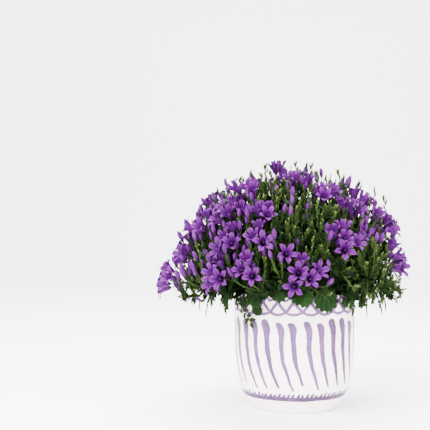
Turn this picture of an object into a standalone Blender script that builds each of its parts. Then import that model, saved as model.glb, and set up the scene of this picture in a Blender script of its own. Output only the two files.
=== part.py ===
"""Potted bellflower: a hand-painted glazed pot that holds a grower's pot, its soil and the plant.

Metres, +Z up. The origin is the centre of the glazed pot's foot, and the front of the plant faces -Y.
"""

import itertools
import math
import random
from collections import namedtuple

import bmesh
import bpy
import numpy as np
from mathutils import Matrix, Vector

# Driving dimensions of the two pots and the soil
POT_HEIGHT = 0.134
POT_RADIUS = 0.0698
POT_WALL = 0.0052
POT_FLOOR = 0.007
POT_FOOT_RADIUS = 0.047
POT_SIDES = 32
GROWER_RADIUS = 0.0600
GROWER_FOOT_RADIUS = 0.0440
GROWER_HEIGHT = 0.1100
GROWER_WALL = 0.0012
GROWER_RIM = 0.0070
GROWER_SIDES = 20
DRAIN_RADIUS = 0.0040
DRAIN_CIRCLE = 0.0260
DRAINS = 4
SOIL_DEPTH = 0.1040
SOIL_MOUND = 0.0040
GAP = 0.00035

# Driving dimensions of the plant
DOME_CENTRE = Vector((-0.008, 0.0, 0.148))
DOME_RADII = Vector((0.136, 0.132, 0.130))
CROWN_RADIUS = 0.033
ROOT_DEPTH = 0.010
TRUNK_RADIUS = 0.0015
BRANCH_RADIUS = 0.0011
TWIG_RADIUS = 0.0008
PEDICEL_RADIUS = 0.0008
KNOT_LENGTH = 0.0060
KNOT_RADIUS = 0.0023
BLOOM_LENGTH = 0.0150
BLOOM_RADIUS = 0.0120
BLOOM_PITCH = 0.0092
HEAD_CURVE = 0.11
BLOOM_LIFTS = (0.0, 0.003, -0.003, 0.006, -0.006, 0.009)
LONG_BUD_LENGTH = 0.0125
GREEN_BUD_LENGTH = 0.0075
STEM_LEAF_LENGTH = 0.0180
STEM_LEAF_STALK = 0.0035
LOW_LEAF_SIZE = 1.35
LOW_LEAF_STEMS = (1, 2, 10, 12, 14, 15, 16, 17, 18, 19)
BASAL_LEAF_WIDTH = 0.0300
BASAL_LEAF_TEETH = 6
FAN_RADIUS = 0.046
FANS = 6
FAN_LEAVES = 5
GOLDEN = math.radians(137.508)
UP = Vector((0.0, 0.0, 1.0))

SOIL_FOOT = POT_FLOOR + GAP + GROWER_WALL + GAP
SOIL_TOP = SOIL_FOOT + SOIL_DEPTH

# Each leafy stem: (azimuth, elevation, reach, blooms) of its flower heads, then (azimuth, elevation, reach)
# of its shoots in bud. Azimuth 0 is the front and 90 the +X side, in degrees on the plant's dome.
STEMS = (
    (((-78, 2, 1.10, 6), (-71, 18, 1.01, 4)), ((-67, -8, 0.96),)),
    (((-61, 33, 1.00, 4), (-43, 42, 1.00, 5)), ((-66, 47, 0.98),)),
    (((-34, 57, 1.02, 4), (-15, 41, 0.99, 3)), ((-24, 60, 1.03),)),
    (((-32, 25, 1.00, 4), (-36, 7, 1.00, 4)), ((-48, 16, 0.96), (-50, -3, 0.94))),
    (((-15, 26, 1.00, 3), (-19, 9, 1.00, 3)), ((-6, 35, 0.97), (-14, -4, 0.93))),
    (((-3, 20, 1.00, 2), (8, 8, 1.00, 5)), ((4, 29, 0.98), (-3, 3, 0.95))),
    (((34, 25, 1.00, 6),), ((20, 17, 0.97), (18, 30, 0.99), (30, 9, 0.96))),
    ((), ((3, 46, 1.00), (15, 42, 0.99), (27, 42, 1.00), (2, 58, 1.01))),
    (((12, 70, 1.00, 4), (36, 57, 1.00, 4)), ((24, 75, 1.03),)),
    (((-60, 86, 1.05, 2),), ((-80, 72, 1.00), (170, 80, 1.00))),
    (((50, 44, 1.00, 3), (74, 48, 1.02, 3)), ((60, 57, 1.03), (54, 30, 0.98))),
    (((85, 33, 1.04, 6), (76, 14, 1.02, 4)), ((96, 20, 0.98),)),
    ((), ((48, 6, 0.96), (58, 15, 0.98), (63, 1, 0.98), (78, -4, 0.98))),
    (((104, 8, 1.00, 3), (112, 33, 1.00, 4)), ((120, 17, 0.97),)),
    (((128, 54, 1.00, 3), (138, 24, 1.00, 3)), ((126, 38, 0.99),)),
    (((168, 12, 1.00, 3), (166, 38, 1.00, 3)), ((180, 25, 0.97),)),
    (((200, 60, 1.00, 3), (200, 30, 1.00, 3)), ((216, 46, 1.00),)),
    (((228, 10, 1.00, 3), (232, 34, 1.00, 3)), ((246, 24, 0.98),)),
    (((256, 12, 1.00, 3), (262, 48, 1.00, 3)), ((258, 31, 0.99),)),
)

Bloom = namedtuple("Bloom", "base axis roll size")
Bud = namedtuple("Bud", "base axis size")
Leaf = namedtuple("Leaf", "base along normal size")
Head = namedtuple("Head", "joint facing blooms buds")
Branch = namedtuple("Branch", "points leaves buds")
Stem = namedtuple("Stem", "name rng trunk heads branches")
Fan = namedtuple("Fan", "name stub petioles leaves")


def unit(vector):
    """The direction of a vector."""
    return Vector(vector).normalized()


def radial(azimuth):
    """The level direction at this azimuth in degrees: 0 is the front, 90 the +X side."""
    angle = math.radians(azimuth)
    return Vector((math.sin(angle), -math.cos(angle), 0.0))


def shaken(rng, amount):
    """A small random vector."""
    return Vector(rng.uniform(-amount, amount) for _ in range(3))


def dome_point(azimuth, elevation, reach):
    """A point of the plant's outer dome, or of the same dome grown by reach."""
    rise = math.radians(elevation)
    direction = radial(azimuth) * math.cos(rise) + UP * math.sin(rise)
    return DOME_CENTRE + Vector(d * r * reach for d, r in zip(direction, DOME_RADII))


def dome_normal(point):
    """The direction that faces straight out of the dome at this point."""
    return unit(d / r**2 for d, r in zip(point - DOME_CENTRE, DOME_RADII))


def hermite(start, start_pull, end, end_pull, count):
    """Points along a smooth curve with these ends and end directions."""
    points = []
    for step in range(count + 1):
        t = step / count
        rise = t * t * (3 - 2 * t)
        bend = start_pull * (t * (1 - t) ** 2) - end_pull * (t * t * (1 - t))
        points.append(start.lerp(end, rise) + bend)
    return points


def along_path(path, share):
    """The point at this share of a path, and the path's direction there."""
    place = min(share, 0.999) * (len(path) - 1)
    index = int(place)
    return path[index].lerp(path[index + 1], place - index), unit(path[index + 1] - path[index])


def blade_frame(along, normal):
    """A rotation whose Y runs along the first direction and whose Z lies nearest to the second."""
    y = unit(along)
    x = unit(y.cross(normal))
    return Matrix((x, y, x.cross(y))).transposed()


def axis_frame(axis, roll=0.0):
    """A rotation whose Z is the axis, turned about it by roll."""
    z = unit(axis)
    x = unit(z.cross(UP if abs(z.z) < 0.95 else Vector((1.0, 0.0, 0.0))))
    return Matrix((x, z.cross(x), z)).transposed() @ Matrix.Rotation(roll, 3, "Z")


# A shape is a list of points and a list of faces. A bell, a long bud and a blade are open at a three-cornered
# foot, which is their first three points, and are closed by the stalk that they get.


def bell_shape():
    """A five-lobed bell along +Z with a three-cornered foot at the origin, open only at that foot."""
    rings = (
        (3, PEDICEL_RADIUS * 1.3, 0.0, 18),
        (10, 0.66 * BLOOM_RADIUS, 0.79 * BLOOM_LENGTH, 0),
        (5, BLOOM_RADIUS, BLOOM_LENGTH, 36),
    )
    notch = (0.42 * BLOOM_RADIUS, 0.70 * BLOOM_LENGTH)
    points = []
    for corners, radius, height, turn in rings:
        for corner in range(corners):
            angle = math.radians(360 * corner / corners + turn)
            reach, rise = notch if corners == 10 and corner % 2 == 0 else (radius, height)
            points.append(Vector((reach * math.cos(angle), reach * math.sin(angle), rise)))
    points.append(Vector((0.0, 0.0, 0.22 * BLOOM_LENGTH)))
    foot, mouth, tips, throat = range(3), range(3, 13), range(13, 18), 18
    faces = []
    for place in range(10):
        near, before = foot[place * 3 // 10], foot[(place - 1) % 10 * 3 // 10]
        faces.append([near, mouth[(place + 1) % 10], mouth[place]])
        if near != before:
            faces.append([before, near, mouth[place]])
    for lobe, tip in enumerate(tips):
        here, rib, after = mouth[2 * lobe], mouth[2 * lobe + 1], mouth[(2 * lobe + 2) % 10]
        faces += [[here, rib, tip], [rib, after, tip], [here, tip, after], [throat, here, after]]
    return points, faces


def spindle_shape(length, radius, belly, sides):
    """A closed bud: pointed at both ends, widest at belly of its length."""
    points = [Vector((0.0, 0.0, 0.0)), Vector((0.0, 0.0, length))]
    for side in range(sides):
        angle = math.tau * side / sides
        points.append(Vector((radius * math.cos(angle), radius * math.sin(angle), belly * length)))
    faces = []
    for side in range(sides):
        here, after = 2 + side, 2 + (side + 1) % sides
        faces += [[0, after, here], [1, here, after]]
    return points, faces


def long_bud_shape():
    """A long closed bud with a three-cornered foot at the origin, open only at that foot."""
    rings = ((0.0, PEDICEL_RADIUS * 1.3), (0.60 * LONG_BUD_LENGTH, 0.0023))
    points = []
    for height, radius in rings:
        for corner in range(3):
            angle = math.tau * corner / 3
            points.append(Vector((radius * math.cos(angle), radius * math.sin(angle), height)))
    points.append(Vector((0.0, 0.0, LONG_BUD_LENGTH)))
    faces = []
    for corner in range(3):
        after = (corner + 1) % 3
        faces += [[corner, after, after + 3, corner + 3], [corner + 3, after + 3, 6]]
    return points, faces


def blade_shape(outline, size, thickness, hang, foot):
    """A leaf blade along +Y, thickest in its middle, its rim hanging down. The outline starts at its foot."""
    points = [Vector((foot, 0.0, foot / 2)), Vector((-foot, 0.0, foot / 2)), Vector((0.0, 0.0, -foot))]
    for x, y in (corner * size for corner in outline):
        points.append(Vector((x, y, -hang * (x * x + y * y))))
    middle = sum(outline, Vector((0.0, 0.0))) / len(outline) * size
    over, under = len(points), len(points) + 1
    points += [Vector((*middle, thickness / 2)), Vector((*middle, -thickness / 2))]
    rim = [0, *range(3, over), 1]
    faces = [[0, over, 1], [2, under, 0], [1, under, 2]]
    for here, after in zip(rim, rim[1:]):
        faces += [[here, after, over], [after, here, under]]
    return points, faces


def basal_outline():
    """A kidney-shaped leaf, one unit wide, with coarse teeth and a notch at its stalk."""
    outline = []
    for step in range(2 * BASAL_LEAF_TEETH + 1):
        angle = math.radians(-58 + 296 * step / (2 * BASAL_LEAF_TEETH))
        reach = 0.50 if step % 2 else 0.40
        outline.append(Vector((reach * math.cos(angle), 0.36 + 0.92 * reach * math.sin(angle))))
    return outline


def stem_outline():
    """A small pointed leaf, one unit long and widest below its middle."""
    return [Vector((0.25, 0.42)), Vector((0.0, 1.0)), Vector((-0.25, 0.42))]


def scaled(shape, size):
    """The shape, made larger or smaller about its origin."""
    points, faces = shape
    return [point * size for point in points], faces


def placed(shape, rotation, origin):
    """The shape, turned and moved into place."""
    points, faces = shape
    return [rotation @ point + origin for point in points], faces


def stalked(shape, rotation, origin, path=()):
    """A shape in its place with its foot closed, or drawn out into a three-cornered stalk along a path."""
    points, faces = placed(shape, rotation, origin)
    faces = list(faces)
    corners = [corner - origin for corner in points[:3]]
    heading, ahead, ring = None, origin, 0
    for place in reversed(path):
        way = unit(ahead - place)
        if heading:
            corners = [heading.rotation_difference(way) @ corner for corner in corners]
        heading, ahead, first = way, place, len(points)
        points += [corner + place for corner in corners]
        for side in range(3):
            after = (side + 1) % 3
            faces.append([ring + side, ring + after, first + after, first + side])
        ring = first
    return points, faces + [[ring, ring + 1, ring + 2]]


def tube(path, first, last, sides):
    """A closed tube along a path, its radius going evenly from first to last."""
    points, faces = [], []
    across = unit(path[1] - path[0]).orthogonal()
    steps = len(path) - 1
    for place, point in enumerate(path):
        along = unit(path[min(place + 1, steps)] - path[max(place - 1, 0)])
        across = unit(across - along * across.dot(along))
        other = along.cross(across)
        radius = first + (last - first) * place / steps
        for side in range(sides):
            angle = math.tau * side / sides
            points.append(point + (across * math.cos(angle) + other * math.sin(angle)) * radius)
    for low in range(0, steps * sides, sides):
        for side in range(sides):
            after = (side + 1) % sides
            faces.append([low + side, low + after, low + sides + after, low + sides + side])
    faces.append(list(range(sides))[::-1])
    faces.append([len(points) - sides + side for side in range(sides)])
    return points, faces


def turned(profile, sides):
    """A closed turned shape. The profile is (radius, height) points, from the axis round to the axis."""
    points, rings, faces = [], [], []
    for radius, height in profile:
        ring = []
        for side in range(sides if radius > 0 else 1):
            angle = math.tau * side / sides
            ring.append(len(points))
            points.append(Vector((radius * math.cos(angle), radius * math.sin(angle), height)))
        rings.append(ring)
    for lower, upper in zip(rings, rings[1:]):
        for side in range(sides):
            after = (side + 1) % sides
            corners = [lower[side % len(lower)], lower[after % len(lower)]]
            corners += [upper[after % len(upper)], upper[side % len(upper)]]
            faces.append(list(dict.fromkeys(corners)))
    return points, faces


BELL = bell_shape()
LONG_BUD = long_bud_shape()
GREEN_BUD = spindle_shape(GREEN_BUD_LENGTH, 0.0014, 0.45, 3)
BASAL_LEAF = blade_shape(basal_outline(), BASAL_LEAF_WIDTH, 0.0014, 6.0, TWIG_RADIUS)
STEM_LEAF = blade_shape(stem_outline(), STEM_LEAF_LENGTH, 0.0012, 5.0, BRANCH_RADIUS * 0.36)


# Room for the nodes: no two may cross


def skin(shape, spacing=0.0012):
    """Points spread all over a shape's surface."""
    points, faces = shape
    spread = []
    for face in faces:
        corner = points[face[0]]
        for second, third in zip(face[1:-1], face[2:]):
            one, two = points[second] - corner, points[third] - corner
            steps = math.ceil(max(one.length, two.length, (one - two).length) / spacing) + 1
            for i in range(steps + 1):
                for j in range(steps + 1 - i):
                    spread.append(corner + one * (i / steps) + two * (j / steps))
    return np.array(spread)


def moved(spread, rotation, origin, size=1.0):
    """The skin points of a shape that is scaled, turned and moved."""
    return spread * size @ np.array(rotation).T + np.array(origin)


class Room:
    """Space in small cells, each held by the first owner that comes within reach of it."""

    CELL = 0.0012
    LOW = np.array((-0.19, -0.19, -0.01))
    CELLS = (320, 320, 270)
    SHARED = -1

    def __init__(self, reach):
        self.held = np.zeros(math.prod(self.CELLS), np.int32)
        steps = math.ceil(reach / self.CELL)
        block = np.mgrid[-steps : steps + 1, -steps : steps + 1, -steps : steps + 1].reshape(3, -1).T
        block = block[np.linalg.norm(block, axis=1) * self.CELL <= reach]
        self.near = block @ np.array((self.CELLS[1] * self.CELLS[2], self.CELLS[2], 1))

    def cells(self, points):
        """The cells that hold these points."""
        places = np.round((points - self.LOW) / self.CELL).astype(int)
        return np.ravel_multi_index(tuple(places.T), self.CELLS)

    def free(self, points, *owners):
        """Whether nobody but these owners holds a cell at these points."""
        held = self.held[self.cells(points)]
        return bool(np.isin(held, (0, *owners)).all())

    def take(self, points, owner):
        """Gives the owner every cell within reach of these points that nobody else holds."""
        cells = np.unique(self.cells(points))
        cells = np.unique(cells[:, None] + self.near[None, :])
        held = self.held[cells]
        self.held[cells] = np.where((held == 0) | (held == owner), owner, self.SHARED)


BELL_SKIN = skin(BELL)
LONG_BUD_SKIN = skin(LONG_BUD)
GREEN_BUD_SKIN = skin(GREEN_BUD)
BASAL_LEAF_SKIN = skin(BASAL_LEAF)
STEM_LEAF_SKIN = skin(STEM_LEAF)


# Growing the plant: where each bloom, bud, stem and leaf goes


def place_bloom(room, petals, owner, number, head, centre, rng):
    """Adds one bloom to a head, turned and shifted until it clears its neighbours, if it can."""
    level = axis_frame(head.facing, number * GOLDEN)
    out = BLOOM_PITCH * math.sqrt(number + 0.5)
    wobble = shaken(rng, 0.10)
    size = rng.uniform(0.92, 1.06)
    turn = rng.uniform(0, 72)
    fitting = None
    for lift, spread, extra in itertools.product(BLOOM_LIFTS, (1.0, 1.15, 0.85), (0, 18, 36, 54)):
        reach = out * spread
        mouth = centre + level.col[0] * reach + head.facing * (lift - reach**2 / HEAD_CURVE)
        axis = unit(unit(mouth - head.joint) + wobble)
        bloom = Bloom(mouth - axis * BLOOM_LENGTH * size, axis, math.radians(turn + extra), size)
        spots = moved(BELL_SKIN, axis_frame(axis, bloom.roll), bloom.base, size)
        stalk = skin(tube([head.joint, bloom.base], PEDICEL_RADIUS, PEDICEL_RADIUS, 3))
        if not room.free(np.concatenate((spots, stalk)), owner):
            continue
        fitting = fitting or (bloom, spots, stalk)
        if petals.free(spots, owner * 10 + number):
            fitting = (bloom, spots, stalk)
            break
    if fitting:
        bloom, spots, stalk = fitting
        room.take(np.concatenate((spots, stalk)), owner)
        petals.take(np.concatenate((spots, stalk[len(stalk) // 2 :])), owner * 10 + number)
        head.blooms.append(bloom)


def place_long_bud(room, petals, owner, head, rng):
    """A long closed purple bud beside the blooms of a head."""
    for _ in range(12):
        axis = unit(head.facing + shaken(rng, 0.8))
        base = head.joint + axis * rng.uniform(0.010, 0.016)
        size = rng.uniform(0.85, 1.1)
        spots = moved(LONG_BUD_SKIN, axis_frame(axis), base, size)
        if room.free(spots, owner) and petals.free(spots):
            room.take(spots, owner)
            petals.take(spots, owner * 10 + 9)
            head.buds.append(Bud(base, axis, size))
            break


def place_head(room, petals, owner, target, rng):
    """A flower head at a spot of the dome: blooms and a long bud on pedicels that spring from one joint."""
    azimuth, elevation, reach, count = target
    centre = dome_point(azimuth, elevation, reach)
    facing = unit(dome_normal(centre) + UP * 0.25)
    depth = BLOOM_LENGTH + 0.011 + 0.35 * BLOOM_PITCH * math.sqrt(count)
    head = Head(centre - facing * depth, facing, [], [])
    for number in range(count):
        place_bloom(room, petals, owner, number, head, centre, rng)
    place_long_bud(room, petals, owner, head, rng)
    return head


def grow_trunk(number, rng, targets):
    """The bare trunk of a stem, from its root on the crown to its fork."""
    ends = [dome_point(*target[:3]) for target in targets]
    middle = sum(ends, Vector()) / len(ends)
    outward = (middle - DOME_CENTRE) * Vector((1.0, 1.0, 0.0))
    low = min(1.0, outward.length / 0.115)
    crown = unit(outward) * CROWN_RADIUS * low**0.7
    surface = crown + UP * (SOIL_TOP + SOIL_MOUND + 0.002)
    rise = Vector((0.36, 0.36, 0.40)) * (middle - surface)
    fork = surface + rise + UP * 0.016 * low
    trunk = [surface - UP * ROOT_DEPTH] + hermite(surface, UP * 0.03, fork, (middle - fork) * 0.5, 2)
    return Stem(f"stem_{number:02d}", rng, trunk, [], [])


def grow_branch(room, petals, number, stem, end, facing, own_head):
    """A branch from a stem's fork to its end, bent until it clears the other stems and heads."""
    fork = stem.trunk[-1]
    lean = unit(fork - stem.trunk[-2])
    length = (end - fork).length
    for attempt in range(40):
        swing = shaken(stem.rng, 0.04 * attempt)
        start_pull = unit(lean * 0.5 + unit(end - fork) * 0.8 + swing) * length * 0.9
        path = hermite(fork, start_pull, end, unit(facing + swing * 0.5) * length * 0.8, 3)
        spots = skin(tube(path, BRANCH_RADIUS, BRANCH_RADIUS, 3))
        if room.free(spots, number, own_head):
            room.take(spots, number)
            petals.take(spots, number * 10 + len(stem.branches))
            return Branch(path, [], [])
    return None


def leaf_foot(leaf):
    """Where the short stalk of a stem leaf springs from its branch."""
    return leaf.base - unit(leaf.along) * STEM_LEAF_STALK


def place_stem_leaves(room, petals, number, branch, own, amount, scale, rng):
    """Short-stalked leaves in turn about a branch, clear of the stem's other pieces."""
    for place in range(amount):
        point, along_stem = along_path(branch.points, 0.15 + 0.6 * (place + 0.5) / amount)
        size = (rng.uniform(1.05, 1.30) - 0.25 * place / amount) * scale
        turn = place * GOLDEN + rng.uniform(0, math.tau)
        for extra in (0.0, 0.8, -0.8, 1.6, -1.6, 2.4, -2.4):
            side = axis_frame(along_stem, turn + extra).col[0]
            along = unit(side + along_stem * 0.7 + UP * 0.15)
            leaf = Leaf(point + along * STEM_LEAF_STALK, along, along_stem - side * 0.3, size)
            spots = moved(STEM_LEAF_SKIN, blade_frame(leaf.along, leaf.normal), leaf.base, size)
            if room.free(spots, number) and petals.free(spots, own):
                room.take(spots, number)
                petals.take(spots, own + 5000)
                branch.leaves.append(leaf)
                break


def place_green_buds(room, petals, number, branch, own, amount, rng):
    """Green buds up the last stretch of a shoot, the first at its tip."""
    for place in range(amount):
        point, along_stem = along_path(branch.points, 1.0 - 0.07 * place)
        side = axis_frame(along_stem, place * GOLDEN).col[0]
        axis = unit(side * 0.75 + along_stem) if place else along_stem
        size = rng.uniform(0.85, 1.15)
        bud = Bud(point - axis * 0.0006, axis, size)
        spots = moved(GREEN_BUD_SKIN, axis_frame(axis), bud.base, size)
        if room.free(spots, number) and petals.free(spots, own):
            room.take(spots, number)
            petals.take(spots, own + 5000)
            branch.buds.append(bud)


def place_fan(room, number, rng):
    """A fan of basal leaves on stalks that spring from one stub in the soil, some hanging over the rim."""
    owner = 400 + number
    middle = (number + 0.5) * 360 / FANS
    fan = Fan(f"leaf_fan_{number + 1}", radial(middle) * FAN_RADIUS + UP * SOIL_TOP, [], [])
    for place in range(FAN_LEAVES):
        hanging = place % 2 == 0
        for attempt in range(24):
            azimuth = middle + (place - (FAN_LEAVES - 1) / 2) * 360 / FANS / FAN_LEAVES
            out = radial(azimuth + rng.uniform(-6, 6))
            size = rng.uniform(0.88, 1.12) * (1.0 if hanging else 0.86)
            dip = math.radians(rng.uniform(44, 70) if hanging else rng.uniform(5, 30))
            far, high = (0.0760, 0.1430) if hanging else (0.0640, 0.1520)
            base = out * (far + rng.uniform(0, 0.0004) * attempt) + UP * (high + rng.uniform(-0.003, 0.006))
            along = out * math.cos(dip) - UP * math.sin(dip)
            leaf = Leaf(base, along, out * math.sin(dip) + UP * math.cos(dip), size)
            spots = moved(BASAL_LEAF_SKIN, blade_frame(leaf.along, leaf.normal), base, size)
            root = fan.stub + UP * 0.004
            petiole = hermite(root, UP * 0.05, base, out * 0.03 - UP * 0.01, 3)
            stalk = skin(tube(petiole, TWIG_RADIUS, TWIG_RADIUS, 3))
            if room.free(np.concatenate((spots, stalk)), owner):
                room.take(np.concatenate((spots, stalk)), owner)
                fan.petioles.append(petiole[:-1])
                fan.leaves.append(leaf)
                break
    return fan


def grow_plant(solid_skins):
    """Every stem, head and fan, none crossing another or the solids whose skin points are given."""
    room, petals = Room(0.0021), Room(0.0009)
    for owner, spots in enumerate(solid_skins, start=500):
        room.take(spots, owner)
    stems = []
    for number, (heads, shoots) in enumerate(STEMS, start=1):
        stems.append(grow_trunk(number, random.Random(number), heads + shoots))
        room.take(skin(tube(stems[-1].trunk, TRUNK_RADIUS, TRUNK_RADIUS, 3)), number)
    for number, (stem, (heads, _)) in enumerate(zip(stems, STEMS), start=1):
        for place, target in enumerate(heads):
            stem.heads.append(place_head(room, petals, 100 + 10 * number + place, target, stem.rng))
    for number, stem in enumerate(stems, start=1):
        for place, head in enumerate(stem.heads):
            end = head.joint - head.facing * (KNOT_LENGTH * 0.36 + GAP)
            owner = 100 + 10 * number + place
            stem.branches.append(grow_branch(room, petals, number, stem, end, head.facing, owner))
    for number, (stem, (_, shoots)) in enumerate(zip(stems, STEMS), start=1):
        for shoot in shoots:
            end = dome_point(*shoot)
            facing = unit(dome_normal(end) * 0.6 + UP * 0.6)
            branch = grow_branch(room, petals, number, stem, end, facing, number)
            if branch:
                place_green_buds(room, petals, number, branch, number * 10 + len(stem.branches), 3, stem.rng)
                stem.branches.append(branch)
    fans = [place_fan(room, number, random.Random(50 + number)) for number in range(FANS)]
    for number, stem in enumerate(stems, start=1):
        for place, branch in enumerate(stem.branches[len(stem.heads) :], start=len(stem.heads)):
            place_stem_leaves(room, petals, number, branch, number * 10 + place, 2, 1.0, stem.rng)
    for number in LOW_LEAF_STEMS:
        stem = stems[number - 1]
        for place, branch in enumerate(stem.branches[: len(stem.heads)]):
            place_stem_leaves(room, petals, number, branch, number * 10 + place, 1, LOW_LEAF_SIZE, stem.rng)
    return stems, fans


# Making objects


def material(name, colour, roughness):
    """A plain surface of one colour."""
    made = bpy.data.materials.new(name)
    made.use_nodes = True
    surface = made.node_tree.nodes["Principled BSDF"]
    surface.inputs["Base Color"].default_value = (*colour, 1.0)
    surface.inputs["Roughness"].default_value = roughness
    surface.inputs["Metallic"].default_value = 0.0
    return made


def make_object(name, shape, surface):
    """An object of one closed shape, its faces pointing out."""
    points, faces = shape
    shell = bmesh.new()
    corners = [shell.verts.new(point) for point in points]
    for face in faces:
        shell.faces.new([corners[corner] for corner in face])
    bmesh.ops.recalc_face_normals(shell, faces=shell.faces)
    mesh = bpy.data.meshes.new(name)
    shell.to_mesh(mesh)
    shell.free()
    mesh.materials.append(surface)
    return bpy.data.objects.new(name, mesh)


def combined(target, shapes, operation):
    """Joins all these closed shapes to an object, or cuts them out of it, and keeps the result."""
    others = bpy.data.collections.new(target.name + "_others")
    for number, shape in enumerate(shapes):
        others.objects.link(make_object(f"{target.name}_{number}", shape, target.data.materials[0]))
    bpy.context.scene.collection.children.link(others)
    boolean = target.modifiers.new(operation.lower(), "BOOLEAN")
    boolean.operation = operation
    boolean.operand_type = "COLLECTION"
    boolean.collection = others
    boolean.solver = "MANIFOLD"
    graph = bpy.context.evaluated_depsgraph_get()
    mesh = bpy.data.meshes.new_from_object(target.evaluated_get(graph))
    target.modifiers.clear()
    target.data = mesh
    for piece in list(others.objects):
        bpy.data.objects.remove(piece)
    bpy.data.collections.remove(others)


def make_joined(name, shapes, surface):
    """A node of several closed shapes that cross, joined into one body."""
    made = make_object(name, shapes[0], surface)
    bpy.context.scene.collection.objects.link(made)
    combined(made, shapes[1:], "UNION")
    return made


def make_turned(name, profile, sides, holes, surface):
    """A turned node, shaded smooth, with its holes cut."""
    made = make_object(name, turned(profile, sides), surface)
    bpy.context.scene.collection.objects.link(made)
    if holes:
        combined(made, holes, "DIFFERENCE")
    made.data.shade_smooth()
    made.data.set_sharp_from_angle(angle=math.radians(35))


# The pots and the soil


def pot_profile():
    """The glazed pot: a flat foot, a cone below the painted band, a swelling wall and a round rim."""
    inside = POT_RADIUS - POT_WALL
    return (
        (0.0, 0.0),
        (POT_FOOT_RADIUS, 0.0),
        (POT_FOOT_RADIUS + 0.0018, 0.0012),
        (0.0597, 0.0168),
        (0.0636, 0.0265),
        (0.0666, 0.0410),
        (0.0684, 0.0580),
        (0.0694, 0.0820),
        (POT_RADIUS, POT_HEIGHT - 0.0024),
        (POT_RADIUS - 0.0016, POT_HEIGHT),
        (inside + 0.0014, POT_HEIGHT),
        (inside, POT_HEIGHT - 0.0025),
        (0.0666 - POT_WALL, 0.0420),
        (0.0597 - POT_WALL, 0.0200),
        (0.0475, POT_FLOOR),
        (0.0, POT_FLOOR),
    )


def grower_radius(height, inset=0.0):
    """The grower's pot's outer radius at a height above its own foot, less an inset."""
    return GROWER_FOOT_RADIUS + (GROWER_RADIUS - 0.0020 - GROWER_FOOT_RADIUS) * height / GROWER_HEIGHT - inset


def grower_profile():
    """The thin plastic pot inside, with a wider rim."""
    foot = POT_FLOOR + GAP
    top = foot + GROWER_HEIGHT
    rim = GROWER_HEIGHT - GROWER_RIM
    return (
        (0.0, foot),
        (grower_radius(0), foot),
        (grower_radius(rim), foot + rim),
        (GROWER_RADIUS, foot + rim),
        (GROWER_RADIUS, top),
        (grower_radius(GROWER_HEIGHT, GROWER_WALL), top),
        (grower_radius(GROWER_WALL, GROWER_WALL), foot + GROWER_WALL),
        (0.0, foot + GROWER_WALL),
    )


def soil_profile():
    """The soil that fills the grower's pot, slightly mounded."""
    inset = GROWER_WALL + GAP
    return (
        (0.0, SOIL_FOOT),
        (grower_radius(GROWER_WALL + GAP, inset), SOIL_FOOT),
        (grower_radius(SOIL_DEPTH, inset), SOIL_TOP - 0.0015),
        (grower_radius(SOIL_DEPTH, inset) - 0.0030, SOIL_TOP),
        (CROWN_RADIUS, SOIL_TOP + SOIL_MOUND * 0.6),
        (0.0, SOIL_TOP + SOIL_MOUND),
    )


def drain_holes():
    """The drain holes through the grower's pot's floor."""
    holes = []
    for number in range(DRAINS):
        centre = radial(45 + 360 * number / DRAINS) * DRAIN_CIRCLE
        holes.append(tube([centre, centre + UP * 0.02], DRAIN_RADIUS, DRAIN_RADIUS, 6))
    return holes


def stem_holes(stems, fans):
    """The holes in the soil that the stems and the stubs of the leaf fans stand in."""
    holes = []
    for stem in stems:
        foot = stem.trunk[0]
        holes.append(tube([foot - UP * GAP, foot + UP * 0.03], *[TRUNK_RADIUS * 1.45 + GAP] * 2, 4))
    for fan in fans:
        holes.append(tube([fan.stub - UP * (0.006 + GAP), fan.stub + UP * 0.03], *[0.0034] * 2, 4))
    return holes


# The plant's nodes


def make_head(name, head, surface):
    """A flower head in one piece: the joint, and the blooms and long buds on their pedicels."""
    knot = spindle_shape(KNOT_LENGTH, KNOT_RADIUS, 0.5, 4)
    shapes = [placed(knot, axis_frame(head.facing), head.joint - head.facing * KNOT_LENGTH * 0.36)]
    for bloom in head.blooms:
        rotation = axis_frame(bloom.axis, bloom.roll)
        shapes.append(stalked(scaled(BELL, bloom.size), rotation, bloom.base, [head.joint]))
    for bud in head.buds:
        shapes.append(stalked(scaled(LONG_BUD, bud.size), axis_frame(bud.axis), bud.base, [head.joint]))
    make_joined(name, shapes, surface)


def make_stem(stem, surface):
    """A leafy stem in one piece: trunk, branches, leaves and green buds."""
    shapes = [tube(stem.trunk, TRUNK_RADIUS, BRANCH_RADIUS, 3)]
    for branch in stem.branches:
        shapes.append(tube(branch.points, BRANCH_RADIUS, TWIG_RADIUS, 3))
        for leaf in branch.leaves:
            turn = blade_frame(leaf.along, leaf.normal)
            shapes.append(stalked(scaled(STEM_LEAF, leaf.size), turn, leaf.base, [leaf_foot(leaf)]))
        for bud in branch.buds:
            shapes.append(placed(scaled(GREEN_BUD, bud.size), axis_frame(bud.axis), bud.base))
    make_joined(stem.name, shapes, surface)


def make_fan(fan, surface):
    """A fan of basal leaves in one piece."""
    shapes = [tube([fan.stub - UP * 0.006, fan.stub + UP * 0.008], 0.0024, 0.0020, 4)]
    for petiole, leaf in zip(fan.petioles, fan.leaves):
        turn = blade_frame(leaf.along, leaf.normal)
        shapes.append(stalked(scaled(BASAL_LEAF, leaf.size), turn, leaf.base, petiole))
    make_joined(fan.name, shapes, surface)


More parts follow.
